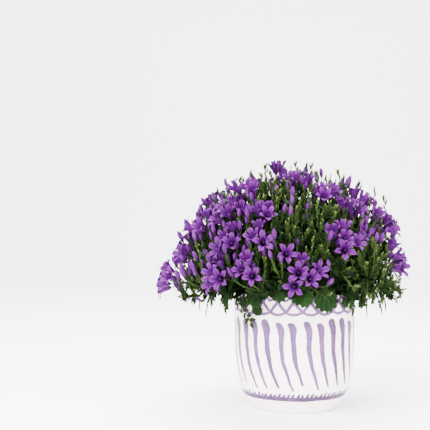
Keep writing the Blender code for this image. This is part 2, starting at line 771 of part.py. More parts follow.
def main():
    for old in list(bpy.data.objects):
        bpy.data.objects.remove(old)
    pots = [turned(pot_profile(), POT_SIDES), turned(grower_profile(), GROWER_SIDES)]
    stems, fans = grow_plant([skin(pot) for pot in pots])
    make_turned("glazed_pot", pot_profile(), POT_SIDES, [], material("glaze", (0.93, 0.91, 0.93), 0.22))
    plastic = material("grower_plastic", (0.03, 0.03, 0.03), 0.5)
    make_turned("grower_pot", grower_profile(), GROWER_SIDES, drain_holes(), plastic)
    earth = material("soil", (0.05, 0.035, 0.025), 0.95)
    make_turned("soil", soil_profile(), GROWER_SIDES, stem_holes(stems, fans), earth)
    green = material("stem_green", (0.09, 0.20, 0.04), 0.55)
    purple = material("petal_purple", (0.32, 0.08, 0.62), 0.5)
    leaf_green = material("leaf_green", (0.035, 0.11, 0.03), 0.5)
    for stem in stems:
        make_stem(stem, green)
        for letter, head in zip("ab", stem.heads):
            make_head(f"{stem.name.replace('stem', 'blooms')}_{letter}", head, purple)
    for fan in fans:
        make_fan(fan, leaf_green)


main()
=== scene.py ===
import itertools
import math
import random
from collections import namedtuple

import bmesh
import bpy
import numpy as np
from mathutils import Matrix, Vector, noise


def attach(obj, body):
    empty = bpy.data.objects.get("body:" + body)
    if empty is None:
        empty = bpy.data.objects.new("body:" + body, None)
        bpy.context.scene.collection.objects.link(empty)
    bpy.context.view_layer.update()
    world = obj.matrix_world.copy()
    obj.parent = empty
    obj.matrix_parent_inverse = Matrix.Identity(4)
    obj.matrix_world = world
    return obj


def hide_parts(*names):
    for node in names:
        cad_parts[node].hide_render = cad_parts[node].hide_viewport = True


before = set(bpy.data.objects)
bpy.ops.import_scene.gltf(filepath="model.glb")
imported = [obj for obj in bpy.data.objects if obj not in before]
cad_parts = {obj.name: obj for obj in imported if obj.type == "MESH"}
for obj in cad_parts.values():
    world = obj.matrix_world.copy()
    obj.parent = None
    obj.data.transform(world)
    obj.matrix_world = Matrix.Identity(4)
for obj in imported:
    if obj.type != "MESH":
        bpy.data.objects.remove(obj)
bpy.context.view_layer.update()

# The glazed pot
# A hand-thrown earthenware cover pot, white glazed all over but for its foot, so it is a little out of round.
# Lavender glaze is brushed on it: a border of crossed strokes at the rim, long comma strokes down the wall,
# and a band with short ticks above the plain foot cone.

POT_HEIGHT = 0.134
POT_RADIUS = 0.0698
POT_WALL = 0.0052
POT_FLOOR = 0.007
POT_FOOT_RADIUS = 0.047
# Radius and height in mm: under the foot, up the outside, over the lip, down the inside and across the floor
POT_CURVE = (
    (0, 0.25), (30, 0.25), (43, 0.2), (45, 0), (47, 0), (48.6, 0.8), (50.6, 4), (54.2, 9.5), (58.9, 15.4),
    (59.9, 17.4), (61.6, 21), (63.7, 26.5), (65.4, 33), (66.7, 41), (67.8, 49), (68.5, 58), (69.1, 68),
    (69.4, 80), (69.7, 92), (69.9, 104), (69.9, 116), (69.7, 127), (69.4, 131), (68.6, 133.2), (67.3, 134),
    (65.9, 133.6), (64.9, 131.8), (64.6, 128), (64.4, 108), (64.0, 80), (63.1, 58), (61.4, 42), (58.4, 29),
    (54.6, 20), (51, 12.4), (47.5, 8), (40, 7), (0, 7),
)
GLAZE_COAT = 0.04
# The painting's heights, lengths and half widths in mm, and how often each mark comes round
STROKES = 28
STROKE_START = 108.0
STROKE_LENGTH = 80.0
STROKE_TOP = 99.5
STROKE_FOOT = 29.0
STROKE_HALF_WIDTH = 4.0
STROKE_PITCH = 15.3
# How far a stroke has drifted aside, and how wide it is, as shares from its top to its foot
STROKE_DRIFT = ((0, 0.1), (0.05, 0.115), (0.14, 0.23), (0.45, 0.29), (0.72, 0.54), (1, 1.0))
STROKE_WIDTH = ((0, 0.97), (0.04, 1.0), (0.1, 0.95), (0.2, 0.76), (0.5, 0.66), (0.75, 0.53), (1, 0.36))
CROSSINGS = 24
CROSSING_FOOT = 115.4
CROSSING_HEIGHT = 126.7
SWAG_HEIGHT = 113.0
ARC_HEIGHT = 128.6
BAND_HEIGHT = 18.5
BAND_HALF_WIDTH = 2.75
TICKS = 74
TICK_FOOT = 19.0
TICK_LENGTH = 5.0


def net(rows, columns, closed):
    """The triangles of a net of points that are numbered row by row, closed round or left open."""
    row, column = np.mgrid[0 : rows - 1, 0 : columns if closed else columns - 1].reshape(2, -1)
    here, side = row * columns + column, row * columns + (column + 1) % columns
    low, high = np.stack((here, side, side + columns)), np.stack((here, side + columns, here + columns))
    return np.concatenate((low.T, high.T))


def eased(corners, steps):
    """Points along a smooth curve through all the corners."""
    corners = np.array(corners, float)
    ends = np.concatenate((2 * corners[:1] - corners[1:2], corners, 2 * corners[-1:] - corners[-2:-1]))
    points = []
    for before, here, after, beyond in zip(ends, ends[1:], ends[2:], ends[3:]):
        for t in np.arange(steps) / steps:
            bend = (2 * before - 5 * here + 4 * after - beyond) * t**2
            turn = (3 * here - before - 3 * after + beyond) * t**3
            points.append(here + ((after - before) * t + bend + turn) / 2)
    return np.array(points + [corners[-1]])


class Bundle:
    """The points, faces and finishes of one piece while it is put together."""

    def __init__(self):
        self.points, self.faces, self.places, self.finishes = [], [], [], []
        self.count = 0

    def add(self, form, finish=0, tone=0.5, turn=None, origin=(0, 0, 0), size=1.0):
        """Adds a form, which is points, triangles and (across, along) of each point, turned and moved."""
        points, faces, place = form
        points = points * size
        if turn is not None:
            points = points @ np.array(turn).T
        self.points.append(points + np.array(origin))
        self.faces.append(faces + self.count)
        self.places.append(np.column_stack((place, np.full(len(points), tone))))
        self.finishes.append(np.full(len(faces), finish))
        self.count += len(points)


def make_piece(name, bundle, finishes, slot, *solids):
    """A smooth mesh piece that rides on the one body and stands for these solids."""
    mesh = bpy.data.meshes.new(name)
    mesh.from_pydata(np.concatenate(bundle.points), [], np.concatenate(bundle.faces))
    mesh.polygons.foreach_set("material_index", np.concatenate(bundle.finishes))
    place = mesh.attributes.new("place", "FLOAT_VECTOR", "POINT")
    place.data.foreach_set("vector", np.concatenate(bundle.places).ravel())
    for finish in finishes:
        mesh.materials.append(finish)
    mesh.shade_smooth()
    piece = bpy.data.objects.new(name, mesh)
    bpy.context.scene.collection.objects.link(piece)
    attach(piece, "root")
    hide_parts(*solids)
    return piece


def net_place(across, along):
    """How far across and along a piece each point of a net lies, from its columns and its rows."""
    return np.column_stack((np.tile(across, len(along)), np.repeat(along, len(across))))


def turned_form(curve, sides, waver=0.0):
    """A turned form from (radius, height) points in mm, pushed a little out of round by hand."""
    radius, height = np.maximum(np.array(curve) / 1000, 0).T
    angle = np.arange(sides) * math.tau / sides
    wide, high = radius[:, None], height[:, None]
    wobble = 0.6 * np.sin(2 * angle + 0.7) + 0.3 * np.sin(3 * angle + 30 * high) + 0.2 * np.sin(5 * angle)
    wide = wide + waver * wobble * np.clip(high / 0.03, 0, 1) * np.minimum(1, wide / 0.03)
    lift = waver * np.sin(3 * angle + 1.0) * np.clip((high - 0.1) / 0.034, 0, 1)
    points = np.stack((wide * np.sin(angle), -wide * np.cos(angle), high + lift), axis=-1)
    place = net_place(np.linspace(-1, 1, sides), np.linspace(0, 1, len(radius)))
    return points.reshape(-1, 3), net(len(radius), sides, True), place


class Amount:
    """A value that changes over a surface. Plain arithmetic with it adds math nodes."""

    def __init__(self, tree, socket):
        self.tree, self.socket = tree, socket

    def __add__(self, other):
        return self.tree.math("ADD", self, other)

    def __sub__(self, other):
        return self.tree.math("SUBTRACT", self, other)

    def __rsub__(self, other):
        return self.tree.math("SUBTRACT", other, self)

    def __mul__(self, other):
        return self.tree.math("MULTIPLY", self, other)

    def __truediv__(self, other):
        return self.tree.math("DIVIDE", self, other)

    def __abs__(self):
        return self.tree.math("ABSOLUTE", self)


class Tree:
    """The nodes of a material or of a node group, with short ways to add and join them."""

    def __init__(self, tree):
        self.tree = tree

    def put(self, kind, *values, named=None, **settings):
        """Adds a node, with its settings, and gives its inputs these values or links in turn, or by name."""
        made = self.tree.nodes.new("ShaderNode" + kind)
        for setting, value in settings.items():
            setattr(made, setting, value)
        for socket, value in zip(made.inputs, values):
            self.join(value, socket)
        for name, value in (named or {}).items():
            self.join(value, made.inputs[name])
        return made

    def join(self, value, socket):
        """Gives a socket a plain value, or a link where the value comes from another node."""
        value = getattr(value, "socket", value)
        if isinstance(value, bpy.types.NodeSocket):
            self.tree.links.new(value, socket)
        elif value is not None:
            socket.default_value = value

    def amount(self, kind, *values, **settings):
        """Adds a node and gives the amount that comes out of it."""
        return Amount(self, self.put(kind, *values, **settings).outputs[0])

    def math(self, operation, *values):
        return self.amount("Math", *values, operation=operation)

    def most(self, *values):
        """The largest of several amounts."""
        first, *others = values
        for other in others:
            first = self.math("MAXIMUM", first, other)
        return first

    def parts(self, vector):
        """The three parts of a vector or a colour."""
        return [Amount(self, part) for part in self.put("SeparateXYZ", vector).outputs]

    def spread(self, value, low, high, to_low=0.0, to_high=1.0):
        """A value's stretch from low to high, eased onto another range."""
        return self.amount("MapRange", value, low, high, to_low, to_high, interpolation_type="SMOOTHSTEP")

    def mix(self, amount, one, other):
        """A colour between two colours."""
        one, other = (c if isinstance(c, bpy.types.NodeSocket) else (*c, 1.0) for c in (one, other))
        made = self.put("Mix", data_type="RGBA")
        for socket, value in zip((made.inputs[0], made.inputs[6], made.inputs[7]), (amount, one, other)):
            self.join(value, socket)
        return made.outputs[2]

    def mottled(self, where, scale, detail=3.0, stretch=None):
        """Cloudy values from 0 to 1, stretched along an axis where that is asked for."""
        if stretch:
            where = self.put("Mapping", where, None, None, stretch).outputs[0]
        named = {"Vector": where, "Scale": scale, "Detail": detail, "Roughness": 0.55}
        return self.amount("TexNoise", named=named)

    def curve(self, value, *points):
        """A drawn curve of a value from 0 to 1, through these points."""
        made = self.put("FloatCurve", 1.0, value)
        drawn = made.mapping.curves[0]
        for number, (x, y) in enumerate(points):
            if number < 2:
                drawn.points[number].location = (x, y)
            else:
                drawn.points.new(x, y)
        made.mapping.update()
        return Amount(self, made.outputs[0])

    def bump(self, height, strength, distance):
        named = {"Strength": strength, "Distance": distance, "Height": height}
        return self.put("Bump", named=named).outputs["Normal"]


class Finish(Tree):
    """A material with one Principled surface."""

    def __init__(self, name, colour, roughness, **plain):
        self.material = bpy.data.materials.new(name)
        self.material.use_nodes = True
        super().__init__(self.material.node_tree)
        self.surface = self.tree.nodes["Principled BSDF"]
        self.set("Base Color", (*colour, 1.0))
        self.set("Roughness", roughness)
        for socket, value in plain.items():
            self.set(socket.replace("_", " "), value)

    def set(self, socket, value):
        self.join(value, self.surface.inputs[socket])

    def where(self):
        """The place of each point of the surface, in metres."""
        return self.put("TexCoord").outputs["Object"]

    def place(self):
        """The across, along and tone of each point of a piece, which its mesh holds."""
        return self.parts(self.put("Attribute", attribute_name="place").outputs["Vector"])


def painted_glaze():
    """White glaze over clay, with the brushed pattern worked out from the height and the way round."""
    coat = {"Specular_IOR_Level": 0.1, "Coat_Weight": GLAZE_COAT, "Coat_Roughness": 0.1}
    made = Finish("painted_glaze", (0.9, 0.84, 0.86), 0.22, **coat)
    where = made.where()
    x, y, z = made.parts(where)
    height = z * 1000.0
    round_share = made.math("ARCTAN2", x, y * -1.0) / math.tau
    shake = made.mottled(where, 60.0, 2.0) - 0.5
    tremble = made.mottled(where, 260.0, 3.0) - 0.5

    def share_of(count, lean):
        """How far across its repeat a point lies, from -0.5 to 0.5, and three chances of that repeat."""
        turns = round_share * float(count) - lean
        number = made.math("FLOOR", turns)
        across = turns - number - 0.5
        named = {"W": made.math("FLOORED_MODULO", number, float(count))}
        chances = made.put("TexWhiteNoise", named=named, noise_dimensions="1D").outputs["Color"]
        return across, made.parts(chances)

    def brushed(distance, half_width):
        """Paint within half_width mm of a brush line, with a soft edge."""
        return made.spread(half_width - distance + tremble * 0.7, -0.15, 0.3)

    # Comma strokes: a round head, a straight run, and a thin tail that drifts to the right
    down = made.amount("Clamp", (STROKE_START - height) / STROKE_LENGTH)
    drift = made.curve(down, *STROKE_DRIFT)
    across, luck = share_of(STROKES, drift * 1.2 + 0.2)
    top, foot = luck[0] * 5.0 + STROKE_TOP, luck[1] * 7.0 + STROKE_FOOT
    run = made.amount("Clamp", (top - height) / (top - foot))
    aside = x * x / 0.07**2
    width = made.curve(run, *STROKE_WIDTH) * (luck[2] * 0.8 + STROKE_HALF_WIDTH) - 0.3
    width = width * (aside * 0.3 + 1.0)
    sway = (luck[1] - 0.5) * 0.14 + shake * 0.2
    away = (across + sway) * STROKE_PITCH
    beyond = made.most(height - top, foot - height, 0.0)
    strokes = brushed(made.math("SQRT", away * away + beyond * beyond), width)
    # The paint is deeper towards the +X side, away from the key light, and towards both ±X sides, which the
    # front view sees edge-on: painted shade.
    paint_depth_and_shade = luck[2] * 0.4 + 0.16 + x * 2.5 + aside * 0.4 + made.spread(run, 0.12, 0.0, 0.0, 0.15)
    paint_depth_and_shade = paint_depth_and_shade * strokes

    # The border: swags between the crossings, strokes that rise both ways and cross, and arcs under the rim
    across, luck = share_of(CROSSINGS, shake * 0.12)
    side = abs(across)
    level = height - tremble * 1.2 - luck[0] * 0.8
    slack = side * -2.0 + 1.0
    border = brushed(abs(level - (slack * slack * 2.8 + SWAG_HEIGHT)), 1.75)
    rising = side * 23.0 + CROSSING_FOOT
    for line in (rising, 2 * CROSSING_HEIGHT - rising):
        stroke = brushed(abs(level - line) * 0.63, 1.9) * made.spread(height, 113.5, 115.5)
        border = made.most(border, stroke)
    arc = side * side * 62.0 + ARC_HEIGHT
    border = made.most(border, brushed(abs(level - arc) * 0.8, 1.35))
    paint_depth_and_shade = paint_depth_and_shade + border * luck[1] * 0.35

    # The band and its ticks, which lean to the right
    band = brushed(abs(height + shake * 2.2 - BAND_HEIGHT), BAND_HALF_WIDTH)
    above = height - TICK_FOOT
    across, luck = share_of(TICKS, above * 0.1)
    rise = above / (luck[0] * 2.0 + TICK_LENGTH)
    side = abs((luck[1] - 0.5) * 0.3 + across)
    tick = brushed(side * 5.2, rise * -0.7 + 2.1)
    tick = tick * made.spread(rise, 0.0, 0.05) * made.spread(rise, 1.05, 0.8)
    band = made.most(band, tick)
    paint_depth_and_shade = paint_depth_and_shade + band * 0.9

    # The outside alone is painted; watery paint is thin in places and gathers at the edge of a stroke
    wide = made.math("SQRT", x * x + y * y)
    outside = made.spread(wide, 0.0462, 0.0464) * made.spread(z, POT_HEIGHT - 0.0004, POT_HEIGHT - 0.0010)
    paint = made.most(strokes, border, band) * outside
    pooled = paint * (1.0 - paint)
    wash = made.spread(made.mottled(where, 90.0, 4.0), 0.3, 0.7, -0.28, 0.28)
    paint_depth_and_shade = made.amount("Clamp", paint_depth_and_shade + wash + pooled * 1.6)
    white = made.mix(made.mottled(where, 14.0, 3.0), (0.92, 0.73, 0.76), (0.97, 0.88, 0.91))
    lavender = made.mix(paint_depth_and_shade, (0.12, 0.04, 0.175), (0.027, 0.004, 0.052))
    glazed = made.mix(paint * 0.97, white, lavender)
    bare = made.spread(z, 0.0002, 0.0006, 1.0, 0.0)
    clay = made.mix(made.mottled(where, 500.0), (0.55, 0.42, 0.32), (0.68, 0.55, 0.44))
    made.set("Base Color", made.mix(bare, glazed, clay))
    gloss = made.spread(made.mottled(where, 30.0, 4.0), 0.3, 0.7, 0.18, 0.32)
    made.set("Roughness", made.most(gloss, bare * 0.85))
    made.set("Coat Weight", (1.0 - bare) * GLAZE_COAT)
    rings, peel = made.mottled(where, 1.0, 3.0, (12.0, 12.0, 240.0)), made.mottled(where, 420.0, 2.0)
    made.set("Normal", made.bump(paint * 0.16 + rings * 0.7 + peel * 0.14, 0.35, 0.0006))
    return made.material


pot = Bundle()
pot.add(turned_form(eased(POT_CURVE, 3), 144, 0.00045))
make_piece("painted_pot", pot, [painted_glaze()], "glaze", "glazed_pot")

# The grower's pot
# A thin black pot of thermoformed plastic that the plant is sold in. It drops into the glazed pot and stands
# on its floor, with a wider rim to lift it by and drain holes punched through its own floor.

GROWER_RADIUS = 0.0600
GROWER_FOOT_RADIUS = 0.0440
GROWER_HEIGHT = 0.1100
GROWER_WALL = 0.0012
GROWER_RIM = 0.0070
GROWER_SIDES = 20
DRAIN_RADIUS = 0.0040
DRAIN_CIRCLE = 0.0260
DRAINS = 4
GAP = 0.00035
GROWER_FOOT = POT_FLOOR + GAP


def grower_radius(height, inset=0.0):
    """The grower's pot's outer radius at a height above its own foot, less an inset."""
    return GROWER_FOOT_RADIUS + (GROWER_RADIUS - 0.0020 - GROWER_FOOT_RADIUS) * height / GROWER_HEIGHT - inset


def thin_plastic():
    """Black plastic, rubbed paler in fine scratches and dusty from the potting bench."""
    made = Finish("black_plastic", (0.02, 0.02, 0.021), 0.45)
    where = made.where()
    scratches = made.spread(made.mottled(where, 1.0, 4.0, (60.0, 60.0, 900.0)), 0.55, 0.75)
    dust = made.spread(made.mottled(where, 130.0, 5.0), 0.45, 0.8)
    black = made.mix(scratches, (0.018, 0.018, 0.019), (0.06, 0.06, 0.062))
    made.set("Base Color", made.mix(dust, black, (0.11, 0.09, 0.07)))
    made.set("Roughness", dust * 0.35 + 0.4)
    made.set("Normal", made.bump(made.mottled(where, 900.0, 2.0), 0.2, 0.0002))
    return made.material


def grower_curve():
    """The pot's section in mm: up the outside with its step and rolled rim, then down the inside."""
    low, rim = GROWER_FOOT, GROWER_HEIGHT - GROWER_RIM
    inner = grower_radius(GROWER_HEIGHT, GROWER_WALL)
    ring = [(0.0, low), (grower_radius(0) - 0.0015, low), (grower_radius(0) - 0.0004, low + 0.0004)]
    ring += [(grower_radius(up), low + up) for up in (0.0015, 0.03, 0.06, 0.085, rim - 0.001)]
    ring += [(GROWER_RADIUS - 0.0006, low + rim), (GROWER_RADIUS, low + rim + 0.0006)]
    ring += [(GROWER_RADIUS, low + GROWER_HEIGHT - 0.0006), (GROWER_RADIUS - 0.0006, low + GROWER_HEIGHT)]
    ring += [(inner + 0.0003, low + GROWER_HEIGHT), (inner, low + GROWER_HEIGHT - 0.0005)]
    ring += [(grower_radius(GROWER_WALL, GROWER_WALL), low + GROWER_WALL), (0.0, low + GROWER_WALL)]
    return [(radius * 1000, height * 1000) for radius, height in ring]


def punch(piece, centres):
    """Punches the drain holes through a piece's floor."""
    cutter = bmesh.new()
    hole = {"radius1": DRAIN_RADIUS, "radius2": DRAIN_RADIUS, "depth": 0.02, "segments": 24, "cap_ends": True}
    for centre in centres:
        bmesh.ops.create_cone(cutter, matrix=Matrix.Translation(centre), **hole)
    mesh = bpy.data.meshes.new("drain_punch")
    cutter.to_mesh(mesh)
    cutter.free()
    tool = bpy.data.objects.new("drain_punch", mesh)
    bpy.context.scene.collection.objects.link(tool)
    boolean = piece.modifiers.new("drain_holes", "BOOLEAN")
    boolean.operation, boolean.object = "DIFFERENCE", tool
    cut = bpy.data.meshes.new_from_object(piece.evaluated_get(bpy.context.evaluated_depsgraph_get()))
    piece.modifiers.clear()
    piece.data = cut
    piece.data.set_sharp_from_angle(angle=math.radians(40))
    bpy.data.objects.remove(tool)


def radial(azimuth):
    """The level direction at this azimuth in degrees: 0 is the front, 90 the +X side."""
    angle = math.radians(azimuth)
    return Vector((math.sin(angle), -math.cos(angle), 0.0))


shell = Bundle()
shell.add(turned_form(grower_curve(), 96))
plastic_pot = make_piece("plastic_pot", shell, [thin_plastic()], "grower_plastic", "grower_pot")
drain_places = [radial(45 + 360 * number / DRAINS) * DRAIN_CIRCLE for number in range(DRAINS)]
punch(plastic_pot, [place + Vector((0, 0, GROWER_FOOT)) for place in drain_places])

# The soil
# Moist peat with bark and fibre, pressed into the grower's pot by hand and slightly mounded about the crown
# of the plant, so its top is rough and loose crumbs lie on it.

SOIL_DEPTH = 0.1040
SOIL_MOUND = 0.0040
CROWN_RADIUS = 0.033
SOIL_FOOT = GROWER_FOOT + GROWER_WALL + GAP
SOIL_TOP = SOIL_FOOT + SOIL_DEPTH
CRUMBS = 420
# The clods of the top of the soil, as how many there are in a metre and how high they stand
CLODS = ((160, 0.0012), (420, 0.0008), (1100, 0.0005))


def peat():
    """Dark peat with paler fibres and bark."""
    made = Finish("peat", (0.03, 0.02, 0.014), 0.95)
    where = made.where()
    cells = made.amount("TexVoronoi", named={"Vector": where, "Scale": 420.0})
    clods = made.mottled(where, 230.0, 6.0)
    dark = made.mix(clods, (0.012, 0.008, 0.006), (0.06, 0.038, 0.024))
    fibre = made.spread(made.mottled(where, 1.0, 2.0, (1500.0, 300.0, 300.0)), 0.66, 0.74)
    made.set("Base Color", made.mix(fibre, dark, (0.17, 0.11, 0.06)))
    made.set("Roughness", made.spread(clods, 0.3, 0.8, 0.82, 1.0))
    made.set("Normal", made.bump(clods * 0.7 + cells, 0.9, 0.0015))
    return made.material


def soil_form():
    """The filled pot of soil: its side and floor, and a top that is rough with clods."""
    inset, sides = GROWER_WALL + GAP, 120
    edge = grower_radius(SOIL_DEPTH, inset)
    rings = [(0.0, SOIL_FOOT), (grower_radius(inset, inset), SOIL_FOOT)]
    for up in (SOIL_DEPTH * 0.5, SOIL_DEPTH * 0.985):
        rings.append((grower_radius(up, inset), SOIL_FOOT + up))
    inward = np.linspace(1, 0, 46)
    top = [(edge * share, SOIL_TOP + SOIL_MOUND * (1 - share) ** 0.7 - 0.0012 * share**8) for share in inward]
    points, faces, place = turned_form([(r * 1000, h * 1000) for r, h in rings + top], sides)
    for number in range(len(rings) * sides, len(points)):
        spot = Vector(points[number])
        clod = sum(noise.noise(spot * number_in_metre) * rise for number_in_metre, rise in CLODS)
        points[number][2] += clod * min(1.0, (edge - math.hypot(spot.x, spot.y)) / 0.002 + 0.15)
    return points, faces, place


def crumb_form():
    """One crumb of peat, eight-sided and rough, one unit across."""
    waist = [(0.5, 0, 0), (0, 0.42, 0.05), (-0.46, 0, 0), (0, -0.5, -0.05)]
    faces = [(0, n, n % 4 + 1) for n in range(1, 5)] + [(5, n % 4 + 1, n) for n in range(1, 5)]
    return np.array([(0, 0, 0.5), *waist, (0, 0, -0.4)]), np.array(faces), np.zeros((6, 2))


def any_turn(luck):
    """A random angle of a whole turn, in radians."""
    return luck.uniform(0, 6.3)


soil = Bundle()
soil.add(soil_form())
luck = random.Random(11)
for _ in range(CRUMBS):
    spot = radial(luck.uniform(0, 360)) * 0.0545 * math.sqrt(luck.random())
    height = SOIL_TOP + SOIL_MOUND * (1 - spot.length / 0.056) ** 0.7 + 0.0006
    tilt = Matrix.Rotation(any_turn(luck), 3, "X") @ Matrix.Rotation(any_turn(luck), 3, "Z")
    soil.add(crumb_form(), 0, 0.5, tilt, (spot.x, spot.y, height), luck.uniform(0.0012, 0.0034))
make_piece("potting_soil", soil, [peat()], "soil", "soil")

# The plant's growth
# One wall bellflower: stems that fork to flower heads and to shoots in bud, and fans of leaves from the soil.
# It grows here by the same rule and the same seeds as the solids, whose plain shapes keep the nodes apart.

DOME_CENTRE = Vector((-0.008, 0.0, 0.148))
DOME_RADII = Vector((0.136, 0.132, 0.130))
ROOT_DEPTH = 0.010
TRUNK_RADIUS = 0.0015
BRANCH_RADIUS = 0.0011
TWIG_RADIUS = 0.0008
PEDICEL_RADIUS = 0.0008
KNOT_LENGTH = 0.0060
BLOOM_LENGTH = 0.0150
BLOOM_RADIUS = 0.0120
BLOOM_PITCH = 0.0092
HEAD_CURVE = 0.11
BLOOM_LIFTS = (0.0, 0.003, -0.003, 0.006, -0.006, 0.009)
LONG_BUD_LENGTH = 0.0125
GREEN_BUD_LENGTH = 0.0075
STEM_LEAF_LENGTH = 0.0180
STEM_LEAF_STALK = 0.0035
LOW_LEAF_SIZE = 1.35
LOW_LEAF_STEMS = (1, 2, 10, 12, 14, 15, 16, 17, 18, 19)
BASAL_LEAF_WIDTH = 0.0300
BASAL_LEAF_TEETH = 6
FAN_RADIUS = 0.046
FANS = 6
FAN_LEAVES = 5
GOLDEN_TURN = 137.508
GOLDEN = math.radians(GOLDEN_TURN)
UP = Vector((0.0, 0.0, 1.0))
# What a stem's leaves and green buds add to its own number where they hold space among the petals
GREEN_MARK = 5000

# Each leafy stem: (azimuth, elevation, reach, blooms) of its flower heads, then (azimuth, elevation, reach)
# of its shoots in bud. Azimuth 0 is the front and 90 the +X side, in degrees on the plant's dome.
STEMS = (
    (((-78, 2, 1.10, 6), (-71, 18, 1.01, 4)), ((-67, -8, 0.96),)),
    (((-61, 33, 1.00, 4), (-43, 42, 1.00, 5)), ((-66, 47, 0.98),)),
    (((-34, 57, 1.02, 4), (-15, 41, 0.99, 3)), ((-24, 60, 1.03),)),
    (((-32, 25, 1.00, 4), (-36, 7, 1.00, 4)), ((-48, 16, 0.96), (-50, -3, 0.94))),
    (((-15, 26, 1.00, 3), (-19, 9, 1.00, 3)), ((-6, 35, 0.97), (-14, -4, 0.93))),
    (((-3, 20, 1.00, 2), (8, 8, 1.00, 5)), ((4, 29, 0.98), (-3, 3, 0.95))),
    (((34, 25, 1.00, 6),), ((20, 17, 0.97), (18, 30, 0.99), (30, 9, 0.96))),
    ((), ((3, 46, 1.00), (15, 42, 0.99), (27, 42, 1.00), (2, 58, 1.01))),
    (((12, 70, 1.00, 4), (36, 57, 1.00, 4)), ((24, 75, 1.03),)),
    (((-60, 86, 1.05, 2),), ((-80, 72, 1.00), (170, 80, 1.00))),
    (((50, 44, 1.00, 3), (74, 48, 1.02, 3)), ((60, 57, 1.03), (54, 30, 0.98))),
    (((85, 33, 1.04, 6), (76, 14, 1.02, 4)), ((96, 20, 0.98),)),
    ((), ((48, 6, 0.96), (58, 15, 0.98), (63, 1, 0.98), (78, -4, 0.98))),
    (((104, 8, 1.00, 3), (112, 33, 1.00, 4)), ((120, 17, 0.97),)),
    (((128, 54, 1.00, 3), (138, 24, 1.00, 3)), ((126, 38, 0.99),)),
    (((168, 12, 1.00, 3), (166, 38, 1.00, 3)), ((180, 25, 0.97),)),
    (((200, 60, 1.00, 3), (200, 30, 1.00, 3)), ((216, 46, 1.00),)),
    (((228, 10, 1.00, 3), (232, 34, 1.00, 3)), ((246, 24, 0.98),)),
    (((256, 12, 1.00, 3), (262, 48, 1.00, 3)), ((258, 31, 0.99),)),
)

Bloom = namedtuple("Bloom", "base axis roll size")
Bud = namedtuple("Bud", "base axis size")
Leaf = namedtuple("Leaf", "base along normal size")
Head = namedtuple("Head", "joint facing blooms buds")
Branch = namedtuple("Branch", "points leaves buds")
Stem = namedtuple("Stem", "name rng trunk heads branches")
Fan = namedtuple("Fan", "name stub petioles leaves")


def unit(vector):
    """The direction of a vector."""
    return Vector(vector).normalized()


def shaken(rng, amount):
    """A small random vector."""
    return Vector(rng.uniform(-amount, amount) for _ in range(3))


def dome_point(azimuth, elevation, reach):
    """A point of the plant's outer dome, or of the same dome grown by reach."""
    rise = math.radians(elevation)
    direction = radial(azimuth) * math.cos(rise) + UP * math.sin(rise)
    return DOME_CENTRE + Vector(d * r * reach for d, r in zip(direction, DOME_RADII))


def dome_normal(point):
    """The direction that faces straight out of the dome at this point."""
    return unit(d / r**2 for d, r in zip(point - DOME_CENTRE, DOME_RADII))


def hermite(start, start_pull, end, end_pull, count):
    """Points along a smooth curve with these ends and end directions."""
    points = []
    for step in range(count + 1):
        t = step / count
        rise = t * t * (3 - 2 * t)
        bend = start_pull * (t * (1 - t) ** 2) - end_pull * (t * t * (1 - t))
        points.append(start.lerp(end, rise) + bend)
    return points


def along_path(path, share):
    """The point at this share of a path, and the path's direction there."""
    place = min(share, 0.999) * (len(path) - 1)
    index = int(place)
    return path[index].lerp(path[index + 1], place - index), unit(path[index + 1] - path[index])


def blade_frame(along, normal):
    """A rotation whose Y runs along the first direction and whose Z lies nearest to the second."""
    y = unit(along)
    x = unit(y.cross(normal))
    return Matrix((x, y, x.cross(y))).transposed()


def axis_frame(axis, roll=0.0):
    """A rotation whose Z is the axis, turned about it by roll."""
    z = unit(axis)
    x = unit(z.cross(UP if abs(z.z) < 0.95 else Vector((1.0, 0.0, 0.0))))
    return Matrix((x, z.cross(x), z)).transposed() @ Matrix.Rotation(roll, 3, "Z")


def sideways(axis, roll):
    """The direction square to an axis, turned about it by roll."""
    return axis_frame(axis, roll).col[0]


def claim(room, petals, spots, owner, own, mark):
    """Takes the space at these points for an owner where it is free, and says whether it was."""
    free = room.free(spots, owner) and petals.free(spots, *own)
    if free:
        room.take(spots, owner)
        petals.take(spots, mark)
    return free


# A shape is a list of points and a list of faces. A bell, a long bud and a blade are open at a three-cornered
# foot, which is their first three points, and are closed by the stalk that they get.


def bell_shape():
    """A five-lobed bell along +Z with a three-cornered foot at the origin, open only at that foot."""
    rings = (
        (3, PEDICEL_RADIUS * 1.3, 0.0, 18),
        (10, 0.66 * BLOOM_RADIUS, 0.79 * BLOOM_LENGTH, 0),
        (5, BLOOM_RADIUS, BLOOM_LENGTH, 36),
    )
    notch = (0.42 * BLOOM_RADIUS, 0.70 * BLOOM_LENGTH)
    points = []
    for corners, radius, height, turn in rings:
        for corner in range(corners):
            angle = math.radians(360 * corner / corners + turn)
            reach, rise = notch if corners == 10 and corner % 2 == 0 else (radius, height)
            points.append(Vector((reach * math.cos(angle), reach * math.sin(angle), rise)))
    points.append(Vector((0.0, 0.0, 0.22 * BLOOM_LENGTH)))
    foot, mouth, tips, throat = range(3), range(3, 13), range(13, 18), 18
    faces = []
    for place in range(10):
        near, before = foot[place * 3 // 10], foot[(place - 1) % 10 * 3 // 10]
        faces.append([near, mouth[(place + 1) % 10], mouth[place]])
        if near != before:
            faces.append([before, near, mouth[place]])
    for lobe, tip in enumerate(tips):
        here, rib, after = mouth[2 * lobe], mouth[2 * lobe + 1], mouth[(2 * lobe + 2) % 10]
        faces += [[here, rib, tip], [rib, after, tip], [here, tip, after], [throat, here, after]]
    return points, faces


